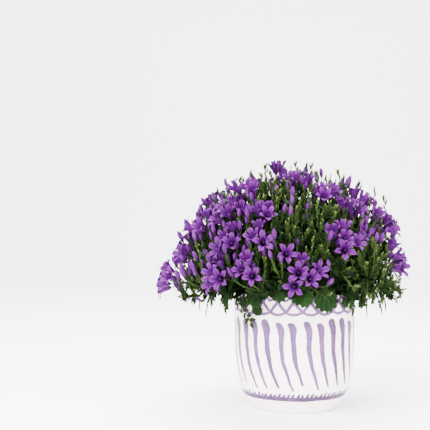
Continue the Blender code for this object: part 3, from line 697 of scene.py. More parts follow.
def spindle_shape(length, radius, belly, sides):
    """A closed bud: pointed at both ends, widest at belly of its length."""
    points = [Vector((0.0, 0.0, 0.0)), Vector((0.0, 0.0, length))]
    for side in range(sides):
        angle = math.tau * side / sides
        points.append(Vector((radius * math.cos(angle), radius * math.sin(angle), belly * length)))
    faces = []
    for side in range(sides):
        here, after = 2 + side, 2 + (side + 1) % sides
        faces += [[0, after, here], [1, here, after]]
    return points, faces


def long_bud_shape():
    """A long closed bud with a three-cornered foot at the origin, open only at that foot."""
    rings = ((0.0, PEDICEL_RADIUS * 1.3), (0.60 * LONG_BUD_LENGTH, 0.0023))
    points = []
    for height, radius in rings:
        for corner in range(3):
            angle = math.tau * corner / 3
            points.append(Vector((radius * math.cos(angle), radius * math.sin(angle), height)))
    points.append(Vector((0.0, 0.0, LONG_BUD_LENGTH)))
    faces = []
    for corner in range(3):
        after = (corner + 1) % 3
        faces += [[corner, after, after + 3, corner + 3], [corner + 3, after + 3, 6]]
    return points, faces


def blade_shape(outline, size, thickness, hang, foot):
    """A leaf blade along +Y, thickest in its middle, its rim hanging down. The outline starts at its foot."""
    points = [Vector((foot, 0.0, foot / 2)), Vector((-foot, 0.0, foot / 2)), Vector((0.0, 0.0, -foot))]
    for x, y in (corner * size for corner in outline):
        points.append(Vector((x, y, -hang * (x * x + y * y))))
    middle = sum(outline, Vector((0.0, 0.0))) / len(outline) * size
    over, under = len(points), len(points) + 1
    points += [Vector((*middle, thickness / 2)), Vector((*middle, -thickness / 2))]
    rim = [0, *range(3, over), 1]
    faces = [[0, over, 1], [2, under, 0], [1, under, 2]]
    for here, after in zip(rim, rim[1:]):
        faces += [[here, after, over], [after, here, under]]
    return points, faces


def basal_outline():
    """A kidney-shaped leaf, one unit wide, with coarse teeth and a notch at its stalk."""
    outline = []
    for step in range(2 * BASAL_LEAF_TEETH + 1):
        angle = math.radians(-58 + 296 * step / (2 * BASAL_LEAF_TEETH))
        reach = 0.50 if step % 2 else 0.40
        outline.append(Vector((reach * math.cos(angle), 0.36 + 0.92 * reach * math.sin(angle))))
    return outline


def stem_outline():
    """A small pointed leaf, one unit long and widest below its middle."""
    return [Vector((0.25, 0.42)), Vector((0.0, 1.0)), Vector((-0.25, 0.42))]


def tube(path, first, last, sides):
    """A closed tube along a path, its radius going evenly from first to last."""
    points, faces = [], []
    across = unit(path[1] - path[0]).orthogonal()
    steps = len(path) - 1
    for place, point in enumerate(path):
        along = unit(path[min(place + 1, steps)] - path[max(place - 1, 0)])
        across = unit(across - along * across.dot(along))
        other = along.cross(across)
        radius = first + (last - first) * place / steps
        for side in range(sides):
            angle = math.tau * side / sides
            points.append(point + (across * math.cos(angle) + other * math.sin(angle)) * radius)
    for low in range(0, steps * sides, sides):
        for side in range(sides):
            after = (side + 1) % sides
            faces.append([low + side, low + after, low + sides + after, low + sides + side])
    faces.append(list(range(sides))[::-1])
    faces.append([len(points) - sides + side for side in range(sides)])
    return points, faces


def turned(profile, sides):
    """A closed turned shape. The profile is (radius, height) points, from the axis round to the axis."""
    points, rings, faces = [], [], []
    for radius, height in profile:
        ring = []
        for side in range(sides if radius > 0 else 1):
            angle = math.tau * side / sides
            ring.append(len(points))
            points.append(Vector((radius * math.cos(angle), radius * math.sin(angle), height)))
        rings.append(ring)
    for lower, upper in zip(rings, rings[1:]):
        for side in range(sides):
            after = (side + 1) % sides
            corners = [lower[side % len(lower)], lower[after % len(lower)]]
            corners += [upper[after % len(upper)], upper[side % len(upper)]]
            faces.append(list(dict.fromkeys(corners)))
    return points, faces


BELL = bell_shape()
LONG_BUD = long_bud_shape()
GREEN_BUD = spindle_shape(GREEN_BUD_LENGTH, 0.0014, 0.45, 3)
BASAL_LEAF = blade_shape(basal_outline(), BASAL_LEAF_WIDTH, 0.0014, 6.0, TWIG_RADIUS)
STEM_LEAF = blade_shape(stem_outline(), STEM_LEAF_LENGTH, 0.0012, 5.0, BRANCH_RADIUS * 0.36)


def skin(shape, spacing=0.0012):
    """Points spread all over a shape's surface."""
    points, faces = shape
    spread = []
    for face in faces:
        corner = points[face[0]]
        for second, third in zip(face[1:-1], face[2:]):
            one, two = points[second] - corner, points[third] - corner
            steps = math.ceil(max(one.length, two.length, (one - two).length) / spacing) + 1
            for i in range(steps + 1):
                for j in range(steps + 1 - i):
                    spread.append(corner + one * (i / steps) + two * (j / steps))
    return np.array(spread)


def moved(spread, rotation, origin, size=1.0):
    """The skin points of a shape that is scaled, turned and moved."""
    return spread * size @ np.array(rotation).T + np.array(origin)


class Room:
    """Space in small cells, each held by the first owner that comes within reach of it."""

    CELL = 0.0012
    LOW = np.array((-0.19, -0.19, -0.01))
    CELLS = (320, 320, 270)
    SHARED = -1

    def __init__(self, reach):
        self.held = np.zeros(math.prod(self.CELLS), np.int32)
        steps = math.ceil(reach / self.CELL)
        block = np.mgrid[-steps : steps + 1, -steps : steps + 1, -steps : steps + 1].reshape(3, -1).T
        block = block[np.linalg.norm(block, axis=1) * self.CELL <= reach]
        self.near = block @ np.array((self.CELLS[1] * self.CELLS[2], self.CELLS[2], 1))

    def cells(self, points):
        """The cells that hold these points."""
        places = np.round((points - self.LOW) / self.CELL).astype(int)
        return np.ravel_multi_index(tuple(places.T), self.CELLS)

    def free(self, points, *owners):
        """Whether nobody but these owners holds a cell at these points."""
        held = self.held[self.cells(points)]
        return bool(np.isin(held, (0, *owners)).all())

    def take(self, points, owner):
        """Gives the owner every cell within reach of these points that nobody else holds."""
        cells = np.unique(self.cells(points))
        cells = np.unique(cells[:, None] + self.near[None, :])
        held = self.held[cells]
        self.held[cells] = np.where((held == 0) | (held == owner), owner, self.SHARED)


BELL_SKIN = skin(BELL)
LONG_BUD_SKIN = skin(LONG_BUD)
GREEN_BUD_SKIN = skin(GREEN_BUD)
BASAL_LEAF_SKIN = skin(BASAL_LEAF)
STEM_LEAF_SKIN = skin(STEM_LEAF)


def place_bloom(room, petals, owner, number, head, centre, rng):
    """Adds one bloom to a head, turned and shifted until it clears its neighbours, if it can."""
    level = axis_frame(head.facing, number * GOLDEN)
    out = BLOOM_PITCH * math.sqrt(number + 0.5)
    wobble = shaken(rng, 0.10)
    size = rng.uniform(0.92, 1.06)
    turn = rng.uniform(0, 72)
    fitting = None
    for lift, spread, extra in itertools.product(BLOOM_LIFTS, (1.0, 1.15, 0.85), (0, 18, 36, 54)):
        reach = out * spread
        mouth = centre + level.col[0] * reach + head.facing * (lift - reach**2 / HEAD_CURVE)
        axis = unit(unit(mouth - head.joint) + wobble)
        bloom = Bloom(mouth - axis * BLOOM_LENGTH * size, axis, math.radians(turn + extra), size)
        spots = moved(BELL_SKIN, axis_frame(axis, bloom.roll), bloom.base, size)
        stalk = skin(tube([head.joint, bloom.base], PEDICEL_RADIUS, PEDICEL_RADIUS, 3))
        if not room.free(np.concatenate((spots, stalk)), owner):
            continue
        fitting = fitting or (bloom, spots, stalk)
        if petals.free(spots, owner * 10 + number):
            fitting = (bloom, spots, stalk)
            break
    if fitting:
        bloom, spots, stalk = fitting
        room.take(np.concatenate((spots, stalk)), owner)
        petals.take(np.concatenate((spots, stalk[len(stalk) // 2 :])), owner * 10 + number)
        head.blooms.append(bloom)


def place_long_bud(room, petals, owner, head, rng):
    """A long closed purple bud beside the blooms of a head."""
    for _ in range(12):
        axis = unit(head.facing + shaken(rng, 0.8))
        base = head.joint + axis * rng.uniform(0.010, 0.016)
        size = rng.uniform(0.85, 1.1)
        spots = moved(LONG_BUD_SKIN, axis_frame(axis), base, size)
        if claim(room, petals, spots, owner, (), owner * 10 + 9):
            head.buds.append(Bud(base, axis, size))
            break


def place_head(room, petals, owner, target, rng):
    """A flower head at a spot of the dome: blooms and a long bud on pedicels that spring from one joint."""
    azimuth, elevation, reach, count = target
    centre = dome_point(azimuth, elevation, reach)
    facing = unit(dome_normal(centre) + UP * 0.25)
    depth = BLOOM_LENGTH + 0.011 + 0.35 * BLOOM_PITCH * math.sqrt(count)
    head = Head(centre - facing * depth, facing, [], [])
    for number in range(count):
        place_bloom(room, petals, owner, number, head, centre, rng)
    place_long_bud(room, petals, owner, head, rng)
    return head


def grow_trunk(number, rng, targets):
    """The bare trunk of a stem, from its root on the crown to its fork."""
    ends = [dome_point(*target[:3]) for target in targets]
    middle = sum(ends, Vector()) / len(ends)
    outward = (middle - DOME_CENTRE) * Vector((1.0, 1.0, 0.0))
    low = min(1.0, outward.length / 0.115)
    crown = unit(outward) * CROWN_RADIUS * low**0.7
    surface = crown + UP * (SOIL_TOP + SOIL_MOUND + 0.002)
    rise = Vector((0.36, 0.36, 0.40)) * (middle - surface)
    fork = surface + rise + UP * 0.016 * low
    trunk = [surface - UP * ROOT_DEPTH] + hermite(surface, UP * 0.03, fork, (middle - fork) * 0.5, 2)
    return Stem(f"stem_{number:02d}", rng, trunk, [], [])


def grow_branch(room, petals, number, stem, end, facing, own_head):
    """A branch from a stem's fork to its end, bent until it clears the other stems and heads."""
    fork = stem.trunk[-1]
    lean = unit(fork - stem.trunk[-2])
    length = (end - fork).length
    for attempt in range(40):
        swing = shaken(stem.rng, 0.04 * attempt)
        start_pull = unit(lean * 0.5 + unit(end - fork) * 0.8 + swing) * length * 0.9
        path = hermite(fork, start_pull, end, unit(facing + swing * 0.5) * length * 0.8, 3)
        spots = skin(tube(path, BRANCH_RADIUS, BRANCH_RADIUS, 3))
        if room.free(spots, number, own_head):
            room.take(spots, number)
            petals.take(spots, number * 10 + len(stem.branches))
            return Branch(path, [], [])
    return None


def leaf_foot(leaf):
    """Where the short stalk of a stem leaf springs from its branch."""
    return leaf.base - unit(leaf.along) * STEM_LEAF_STALK


def place_stem_leaves(room, petals, number, branch, own, amount, scale, rng):
    """Short-stalked leaves in turn about a branch, clear of the stem's other pieces."""
    for place in range(amount):
        point, along_stem = along_path(branch.points, 0.15 + 0.6 * (place + 0.5) / amount)
        size = (rng.uniform(1.05, 1.30) - 0.25 * place / amount) * scale
        turn = place * GOLDEN + rng.uniform(0, math.tau)
        for extra in (0.0, 0.8, -0.8, 1.6, -1.6, 2.4, -2.4):
            side = sideways(along_stem, turn + extra)
            along = unit(side + along_stem * 0.7 + UP * 0.15)
            leaf = Leaf(point + along * STEM_LEAF_STALK, along, along_stem - side * 0.3, size)
            spots = moved(STEM_LEAF_SKIN, blade_frame(leaf.along, leaf.normal), leaf.base, size)
            if claim(room, petals, spots, number, (own,), own + GREEN_MARK):
                branch.leaves.append(leaf)
                break


def place_green_buds(room, petals, number, branch, own, amount, rng):
    """Green buds up the last stretch of a shoot, the first at its tip."""
    for place in range(amount):
        point, along_stem = along_path(branch.points, 1.0 - 0.07 * place)
        side = sideways(along_stem, place * GOLDEN)
        axis = unit(side * 0.75 + along_stem) if place else along_stem
        size = rng.uniform(0.85, 1.15)
        bud = Bud(point - axis * 0.0006, axis, size)
        spots = moved(GREEN_BUD_SKIN, axis_frame(axis), bud.base, size)
        if claim(room, petals, spots, number, (own,), own + GREEN_MARK):
            branch.buds.append(bud)


def place_fan(room, number, rng):
    """A fan of basal leaves on stalks that spring from one stub in the soil, some hanging over the rim."""
    owner = 400 + number
    middle = (number + 0.5) * 360 / FANS
    fan = Fan(f"leaf_fan_{number + 1}", radial(middle) * FAN_RADIUS + UP * SOIL_TOP, [], [])
    for place in range(FAN_LEAVES):
        hanging = place % 2 == 0
        for attempt in range(24):
            azimuth = middle + (place - (FAN_LEAVES - 1) / 2) * 360 / FANS / FAN_LEAVES
            out = radial(azimuth + rng.uniform(-6, 6))
            size = rng.uniform(0.88, 1.12) * (1.0 if hanging else 0.86)
            dip = math.radians(rng.uniform(44, 70) if hanging else rng.uniform(5, 30))
            far, high = (0.0760, 0.1430) if hanging else (0.0640, 0.1520)
            base = out * (far + rng.uniform(0, 0.0004) * attempt) + UP * (high + rng.uniform(-0.003, 0.006))
            along = out * math.cos(dip) - UP * math.sin(dip)
            leaf = Leaf(base, along, out * math.sin(dip) + UP * math.cos(dip), size)
            spots = moved(BASAL_LEAF_SKIN, blade_frame(leaf.along, leaf.normal), base, size)
            root = fan.stub + UP * 0.004
            petiole = hermite(root, UP * 0.05, base, out * 0.03 - UP * 0.01, 3)
            stalk = skin(tube(petiole, TWIG_RADIUS, TWIG_RADIUS, 3))
            if room.free(np.concatenate((spots, stalk)), owner):
                room.take(np.concatenate((spots, stalk)), owner)
                fan.petioles.append(petiole[:-1])
                fan.leaves.append(leaf)
                break
    return fan


def grow_plant(solid_skins):
    """Every stem, head and fan, none crossing another or the solids whose skin points are given."""
    room, petals = Room(0.0021), Room(0.0009)
    for owner, spots in enumerate(solid_skins, start=500):
        room.take(spots, owner)
    stems = []
    for number, (heads, shoots) in enumerate(STEMS, start=1):
        stems.append(grow_trunk(number, random.Random(number), heads + shoots))
        room.take(skin(tube(stems[-1].trunk, TRUNK_RADIUS, TRUNK_RADIUS, 3)), number)
    for number, (stem, (heads, _)) in enumerate(zip(stems, STEMS), start=1):
        for place, target in enumerate(heads):
            stem.heads.append(place_head(room, petals, 100 + 10 * number + place, target, stem.rng))
    for number, stem in enumerate(stems, start=1):
        for place, head in enumerate(stem.heads):
            end = head.joint - head.facing * (KNOT_LENGTH * 0.36 + GAP)
            owner = 100 + 10 * number + place
            stem.branches.append(grow_branch(room, petals, number, stem, end, head.facing, owner))
    for number, (stem, (_, shoots)) in enumerate(zip(stems, STEMS), start=1):
        for shoot in shoots:
            end = dome_point(*shoot)
            facing = unit(dome_normal(end) * 0.6 + UP * 0.6)
            branch = grow_branch(room, petals, number, stem, end, facing, number)
            if branch:
                place_green_buds(room, petals, number, branch, number * 10 + len(stem.branches), 3, stem.rng)
                stem.branches.append(branch)
    fans = [place_fan(room, number, random.Random(50 + number)) for number in range(FANS)]
    for number, stem in enumerate(stems, start=1):
        for place, branch in enumerate(stem.branches[len(stem.heads) :], start=len(stem.heads)):
            place_stem_leaves(room, petals, number, branch, number * 10 + place, 2, 1.0, stem.rng)
    for number in LOW_LEAF_STEMS:
        stem = stems[number - 1]
        for place, branch in enumerate(stem.branches[: len(stem.heads)]):
            place_stem_leaves(room, petals, number, branch, number * 10 + place, 1, LOW_LEAF_SIZE, stem.rng)
    return stems, fans


POT_SIDES = 32


def plain_pot_section():
    """The solid glazed pot's section, which the growing leaves keep clear of."""
    inside = POT_RADIUS - POT_WALL
    return (
        (0.0, 0.0), (POT_FOOT_RADIUS, 0.0), (POT_FOOT_RADIUS + 0.0018, 0.0012), (0.0597, 0.0168),
        (0.0636, 0.0265), (0.0666, 0.0410), (0.0684, 0.0580), (0.0694, 0.0820),
        (POT_RADIUS, POT_HEIGHT - 0.0024), (POT_RADIUS - 0.0016, POT_HEIGHT),
        (inside + 0.0014, POT_HEIGHT), (inside, POT_HEIGHT - 0.0025),
        (0.0666 - POT_WALL, 0.0420), (0.0597 - POT_WALL, 0.0200), (0.0475, POT_FLOOR), (0.0, POT_FLOOR),
    )  # fmt: skip


def plain_grower_section():
    """The solid grower's pot's section, which the growing leaves keep clear of."""
    foot, rim = GROWER_FOOT, GROWER_HEIGHT - GROWER_RIM
    top, floor = foot + GROWER_HEIGHT, foot + GROWER_WALL
    return (
        (0.0, foot), (grower_radius(0), foot), (grower_radius(rim), foot + rim), (GROWER_RADIUS, foot + rim),
        (GROWER_RADIUS, top), (grower_radius(GROWER_HEIGHT, GROWER_WALL), top),
        (grower_radius(GROWER_WALL, GROWER_WALL), floor), (0.0, floor),
    )  # fmt: skip


plain_pots = [turned(plain_pot_section(), POT_SIDES), turned(plain_grower_section(), GROWER_SIDES)]
stems, fans = grow_plant([skin(pot) for pot in plain_pots])

# The leaf fans
# The oldest leaves, on long stalks straight from the soil: kidney-shaped, coarsely toothed, dark and a little
# glossy. The outer ones and a few small ones hang over the pot's rim, and younger ones crowd behind them.


def shared_effect(name, inputs, *outputs):
    """A node group with these inputs and usual values: the group, its tree, its inputs and its outputs."""
    group = bpy.data.node_groups.new(name, "ShaderNodeTree")
    for socket, usual in inputs.items():
        kind = "NodeSocketVector" if usual is None else "NodeSocketFloat"
        made = group.interface.new_socket(name=socket, in_out="INPUT", socket_type=kind)
        if usual is not None:
            made.default_value = usual
    for socket in outputs:
        group.interface.new_socket(name=socket, in_out="OUTPUT", socket_type="NodeSocketFloat")
    tree = Tree(group)
    given = [Amount(tree, socket) for socket in group.nodes.new("NodeGroupInput").outputs[: len(inputs)]]
    return group, tree, given, group.nodes.new("NodeGroupOutput").inputs


def living_tint():
    """A node group: cloudy light and dark over living tissue, shifted by each piece's own tone."""
    inputs = {"Where": None, "Scale": 200.0, "Tone": 0.5}
    group, tree, (where, scale, tone), result = shared_effect("living_tint", inputs, "Shade", "Relief")
    clouds = tree.mottled(where, scale)
    grain = tree.mottled(where, scale * 9.0, 2.0)
    shade = tree.spread(clouds, 0.25, 0.75) * 0.5 + (tone * 1.1 - 0.3)
    tree.join(tree.amount("Clamp", shade), result["Shade"])
    tree.join(clouds * 0.6 + grain * 0.4, result["Relief"])
    return group


def blade_veins():
    """A node group: the middle vein of a leaf or petal, and its side veins that slant forward."""
    inputs = {"Across": 0.0, "Along": 0.0, "Side Veins": 7.0, "Slant": 1.4, "Middle Width": 0.07}
    group, tree, given, result = shared_effect("blade_veins", inputs, "Vein")
    across, along, side_veins, slant, middle_width = given
    aside = abs(across)
    middle = tree.spread(aside, middle_width, 0.0)
    between = abs(tree.math("FRACT", along * side_veins - aside * slant) - 0.5)
    tree.join(tree.most(middle, tree.spread(between, 0.16, 0.0) * 0.6), result["Vein"])
    return group


TINT = living_tint()
VEINS = blade_veins()


class LivingFinish(Finish):
    """The skin of a living piece: its cloudy shade and relief, and each point's place and tone."""

    def __init__(self, name, colour, roughness, cloud_scale, gloss=0.02):
        super().__init__(name, colour, roughness, Specular_IOR_Level=gloss)
        self.across, self.along, self.tone = self.place()
        named = {"Where": self.where(), "Scale": cloud_scale, "Tone": self.tone}
        tint = self.put("Group", node_tree=TINT, named=named)
        self.shade, self.relief = (Amount(self, socket) for socket in tint.outputs)

    def veins(self, **named):
        """The veins of a leaf or a petal, with these numbers in place of the usual ones."""
        named = {name.replace("_", " "): value for name, value in named.items()}
        named.update({"Across": self.across, "Along": self.along})
        return self.amount("Group", node_tree=VEINS, named=named)

    def behind(self):
        """Whether the underside of a blade is seen."""
        return self.put("NewGeometry").outputs["Backfacing"]

    def complete(self, colour, smooth, dull, height, strength, depth):
        """Gives the surface its colour, its roughness from smooth to dull, and its relief."""
        self.set("Base Color", colour)
        self.set("Roughness", self.spread(self.relief, 0.3, 0.7, smooth, dull))
        self.set("Normal", self.bump(height, strength, depth))
        return self.material


def stalk_finish(name, green, blush):
    """A stalk's skin: green with a second colour, a purple blush on most stalks, in patches and where its
    tone is low, and fine lengthwise ridges.
    """
    made = LivingFinish(name, green, 0.5, 90.0)
    ridges = abs(made.math("SINE", made.across * 12.0))
    colour = made.mix(made.shade, blush, green)
    return made.complete(colour, 0.4, 0.62, ridges * 0.5 + made.relief, 0.4, 0.0003)


def tube_form(path, first, last, sides=6, steps=1):
    """A stalk along a path, its radius going evenly from first to last, tapered to nothing at its end."""
    path = np.array([tuple(point) for point in path])
    if steps > 1:
        path = eased(path, steps)
    ways = np.gradient(path, axis=0)
    ways /= np.linalg.norm(ways, axis=1)[:, None]
    level = np.array(Vector(ways[0]).orthogonal().normalized())
    rings = []
    for number, (point, way) in enumerate(zip(path, ways)):
        level = level - way * level.dot(way)
        level /= np.linalg.norm(level)
        angle = np.arange(sides) * math.tau / sides
        radius = first + (last - first) * number / (len(path) - 1)
        side = np.cos(angle)[:, None] * level + np.sin(angle)[:, None] * np.cross(way, level)
        rings.append(point + side * radius)
    rings.append(np.repeat(path[-1:] + ways[-1:] * last * 0.6, sides, axis=0) + (rings[-1] - path[-1]) * 0.05)
    place = net_place(np.linspace(-1, 1, sides), np.linspace(0, 1, len(rings)))
    return np.concatenate(rings), net(len(rings), sides, True), place


def basal_form(seed):
    """A kidney-shaped leaf one unit wide: toothed, puckered between its veins, its edge waving."""
    luck = random.Random(seed)
    teeth, rows = 11, np.array((0.03, 0.2, 0.38, 0.56, 0.72, 0.86, 0.94, 1.0))
    columns = 4 * teeth + 1
    share = np.linspace(0, 1, columns)
    angle = np.radians(-58 + 296 * share)
    tooth = np.abs((share * teeth * 1.0) % 1.0 - 0.45) * 2
    reach = 0.515 - 0.115 * tooth + 0.02 * np.sin(angle * 2 + luck.uniform(0, 6))
    outlines = [(out * np.cos(angle), 0.36 + 0.92 * out * np.sin(angle)) for out in (reach, 0.45)]
    rim, smooth = (np.stack(outline, axis=-1) for outline in outlines)
    wave, fold = luck.uniform(0, 6), luck.uniform(0.05, 0.16)
    points = []
    for row in rows:
        x, y = (row * (smooth + (rim - smooth) * row**5)).T
        veins = 0.016 * np.cos(share * 7 * math.tau) * np.sin(row * math.pi) ** 0.7
        z = -0.17 * (x**2 + y**2) + fold * np.abs(x) * (1 - row * 0.5) + veins
        z = z + 0.035 * np.sin(angle * 3 + wave) * row**2
        z = z - 0.05 * row**4 * np.cos(share * 4 * math.tau + wave)
        points.append(np.stack((x, y, z), axis=-1))
    return np.concatenate(points), net(len(rows), columns, False)[:, ::-1], net_place(share * 2 - 1, rows)


def fan_finish():
    """The old leaves: dark green, a little glossy, with pale veins that fan out from the stalk."""
    made = LivingFinish("basal_leaf", (0.008, 0.024, 0.006), 0.42, 75.0)
    spokes = abs(made.math("FRACT", made.across * 3.5) - 0.5)
    spokes = made.spread(spokes * (made.along + 0.15), 0.07, 0.015)
    named = {"Vector": made.where(), "Scale": 420.0}
    web = made.amount("TexVoronoi", named=named, feature="DISTANCE_TO_EDGE")
    vein = made.most(spokes, made.spread(web, 0.09, 0.0) * 0.3)
    green = made.mix(made.shade, (0.003, 0.0085, 0.0028), (0.010, 0.028, 0.0065))
    green = made.mix(vein * 0.4, green, (0.02, 0.042, 0.013))
    green = made.mix(made.spread(made.along, 0.88, 1.0) * 0.3, green, (0.015, 0.038, 0.008))
    green = made.mix(made.behind(), green, (0.014, 0.03, 0.011))
    return made.complete(green, 0.34, 0.56, vein * -0.6 + made.relief, 0.6, 0.0006)


FAN_BLADE, FAN_STALK = range(2)
FAN_FINISHES = [fan_finish(), stalk_finish("leaf_stalk", (0.017, 0.029, 0.007), (0.012, 0.008, 0.006))]
BASAL_FORMS = [basal_form(seed) for seed in range(7)]


def young_leaves(fan, number, luck, amount):
    """The smaller leaves that crowd between the big ones and above them, as (stalk, leaf)."""
    found = []
    for place in range(amount):
        azimuth = (number + luck.uniform(-0.05, 1.05)) * 360 / FANS
        out = radial(azimuth)
        far = luck.uniform(0.036, 0.080)
        high = 0.122 + 0.5 * (0.078 - far) + luck.uniform(0.004, 0.040)
        dip = math.radians(luck.uniform(-25, 45) + (far - 0.05) * 900)
        along = out * math.cos(dip) - UP * math.sin(dip) + shaken(luck, 0.35)
        base = out * far + UP * high
        leaf = Leaf(base, along, out * math.sin(dip) + UP * math.cos(dip), luck.uniform(0.5, 0.88))
        found.append((hermite(fan.stub + UP * 0.004, UP * 0.04, base, out * 0.02, 3), leaf))
    return found


# The small leaves that hang over the rim: azimuth, radius and height in mm where each begins, and its size
HANGING_LEAVES = (
    (-34, 73.5, 123, 0.52), (-50, 73.5, 130, 0.5), (50, 74, 131, 0.5), (64, 84, 134, 0.74),
    (71, 94, 138, 0.7), (79, 103, 141, 0.62), (120, 76, 131, 0.5), (152, 74, 131, 0.55),
    (-165, 74, 130, 0.5), (-125, 76, 131, 0.55), (-98, 82, 134, 0.55),
)  # fmt: skip


def hanging_leaves(fan, number):
    """The small leaves of this fan that hang over the rim, as (stalk, leaf)."""
    found = []
    for azimuth, radius, height, size in HANGING_LEAVES:
        if int(azimuth % 360 / 360 * FANS) == number:
            out = radial(azimuth)
            base = (out * radius + UP * height) / 1000
            bend = base - out * 0.002 + UP * 0.010
            stalk = hermite(fan.stub + UP * 0.004, UP * 0.05, bend, out * 0.02, 4)
            stalk += hermite(bend, out * 0.008, base, UP * -0.012, 2)[1:]
            found.append((stalk, Leaf(base, out * 0.12 - UP, out + UP * 0.1, size)))
    return found


for number, fan in enumerate(fans):
    luck = random.Random(500 + number)
    tuft = Bundle()
    tuft.add(tube_form([fan.stub - UP * 0.006, fan.stub + UP * 0.008], 0.0026, 0.0019, 8), FAN_STALK, 0.2)
    grown = [([*petiole, leaf.base], leaf) for petiole, leaf in zip(fan.petioles, fan.leaves)]
    for path, leaf in grown + hanging_leaves(fan, number) + young_leaves(fan, number, luck, 15):
        tone = luck.random()
        tuft.add(tube_form(path, 0.0009, 0.0007, 6, 4), FAN_STALK, tone)
        turn = blade_frame(leaf.along, leaf.normal)
        tuft.add(luck.choice(BASAL_FORMS), FAN_BLADE, tone, turn, leaf.base, BASAL_LEAF_WIDTH * leaf.size)
    make_piece(fan.name.replace("leaf_fan", "basal_leaves"), tuft, FAN_FINISHES, "basal_leaves", fan.name)

# The leafy stems
# Wiry branching stems with small toothed leaves and pointed green buds in narrow sepals. Fine side shoots,
# some with a long purple bud, fill the cushion between the flower heads, and short twigs of leaves painted
# near black as shade darken its inside. A few leafy sprays hang over the rim.

SPARE_SHOOTS = 1040
FRONT_SHOOTS = 90
SHOOT_RADIUS = 0.0005
CORE_ROOM = 0.0075
INNER_TWIGS = 150
INNER_LEAVES_PER_STEM = 120


def leaf_form(width, fold, curl, teeth, rows, halves):
    """A pointed leaf one unit long along +Y: folded on its middle vein, toothed, its tip curled down."""
    along = np.linspace(0, 1, rows)
    across = np.linspace(-1, 1, 2 * halves + 1)
    half = width * np.sin(math.pi * np.clip(along, 0, 1) ** 0.78) ** 0.85 + 0.012 * (1 - along)
    if teeth:
        half = half * (1 + 0.16 * (np.abs((along * teeth) % 1.0 - 0.5) * 2 - 0.5) * (along > 0.15))
    x = half[:, None] * across
    y = np.broadcast_to(along[:, None], x.shape) + 0.05 * np.abs(x)
    z = fold * np.abs(x) - curl * along[:, None] ** 2
    points = np.stack((x, y, z), axis=-1).reshape(-1, 3)
    return points, net(rows, len(across), False), net_place(across, along)


def leaf_forms(width, teeth, rows, halves, *bends):
    """Leaves of one kind, each with its own fold and curl."""
    return [leaf_form(width, fold, curl, teeth, rows, halves) for fold, curl in bends]


def joined_form(*forms):
    """Several forms as one."""
    points, faces, place, count = [], [], [], 0
    for form in forms:
        points.append(form[0])
        faces.append(form[1] + count)
        place.append(form[2])
        count += len(form[0])
    return np.concatenate(points), np.concatenate(faces), np.concatenate(place)


def in_mm(form):
    """A form that is drawn in mm, at its real size."""
    points, faces, place = form
    return points / 1000, faces, place


def round_form(curve, sides, ridges=0, depth=0.0, twist=0.0):
    """A bud or calyx from (radius, height) points along +Z, with lengthwise ridges and a twist."""
    radius, height = np.array(curve, float).T
    share = height / height[-1]
    angle = np.arange(sides) * math.tau / sides
    turn = angle + twist * share[:, None]
    wide = radius[:, None] * (1 + depth * np.cos(ridges * angle))
    high = np.broadcast_to(height[:, None], wide.shape)
    points = np.stack((wide * np.cos(turn), wide * np.sin(turn), high), axis=-1).reshape(-1, 3)
    return points, net(len(radius), sides, True), net_place(np.linspace(-1, 1, sides), share)


def sepals_form(foot, belly, tip, half_width, widths=(-1, 0, 1)):
    """Five narrow pointed sepals in a ring, each through its (radius, height) at its foot, belly and tip."""
    forms = []
    curve = eased([foot, belly, tip], len(widths) - 1)
    shares = np.linspace(0, 1, len(curve))
    for number in range(5):
        angle = math.tau * number / 5
        out = np.array((math.cos(angle), math.sin(angle)))
        side = np.array((-out[1], out[0]))
        points = []
        for share, (radius, height) in zip(shares, curve):
            half = half_width * (1 - share**1.6)
            for across in widths:
                points.append((*out * (radius - 0.25 * half * abs(across)) + side * across * half, height))
        forms.append((np.array(points), net(len(curve), len(widths), False), net_place(widths, shares)))
    return joined_form(*forms)


def green_bud_form():
    """A young bud one unit long: a round ovary, and five sepals that close to a point over the petals."""
    ovary = round_form([(0.03, 0.0), (0.125, 0.16), (0.1, 0.42), (0.01, 0.86)], 5)
    return joined_form(ovary, sepals_form((0.12, 0.2), (0.155, 0.55), (0.07, 1.0), 0.085, (-1, 1)))


def stem_leaf_finish():
    """A stem leaf's skin: mottled green, paler veins that stand up, and a paler dull underside, all painted
    near black as shade where its tone is below nought.
    """
    light, vein_colour = (0.016, 0.033, 0.006), (0.025, 0.044, 0.011)
    made = LivingFinish("stem_leaf", light, 0.46, 130.0)
    vein = made.veins(Side_Veins=6.0, Slant=1.2)
    green = made.mix(made.shade, (0.0032, 0.0088, 0.0022), light)
    # A tone below nought mixes in near black: painted shade for the leaves inside the cushion.
    green = made.mix(made.spread(made.tone, -0.25, 0.0, 0.6, 0.0), green, (0.0006, 0.0016, 0.0005))
    # A low tone also keeps the veins, tip and underside dark: partly each leaf's own tone, partly painted
    # shade.
    paleness_and_shade = made.spread(made.tone, 0.0, 0.6, 0.1, 0.5)
    green = made.mix(vein * paleness_and_shade, green, vein_colour)
    green = made.mix(made.spread(made.along, 0.86, 1.0) * paleness_and_shade, green, vein_colour)
    green = made.mix(made.behind(), green, made.mix(paleness_and_shade, green, vein_colour))
    return made.complete(green, 0.38, 0.58, vein * 0.8 + made.relief, 0.45, 0.0004)


def bud_finish():
    """A green bud's skin: mid green at its foot, pale yellow-green at the tips of its sepals."""
    made = LivingFinish("green_bud", (0.018, 0.035, 0.007), 0.5, 200.0, 0.07)
    green = made.mix(made.shade, (0.0038, 0.0108, 0.0023), (0.022, 0.042, 0.007))
    tips = made.spread(made.along, 0.45, 1.0) * made.spread(made.tone, 0.45, 1.0)
    return made.complete(made.mix(tips, green, (0.19, 0.24, 0.07)), 0.4, 0.6, made.relief, 0.4, 0.0002)


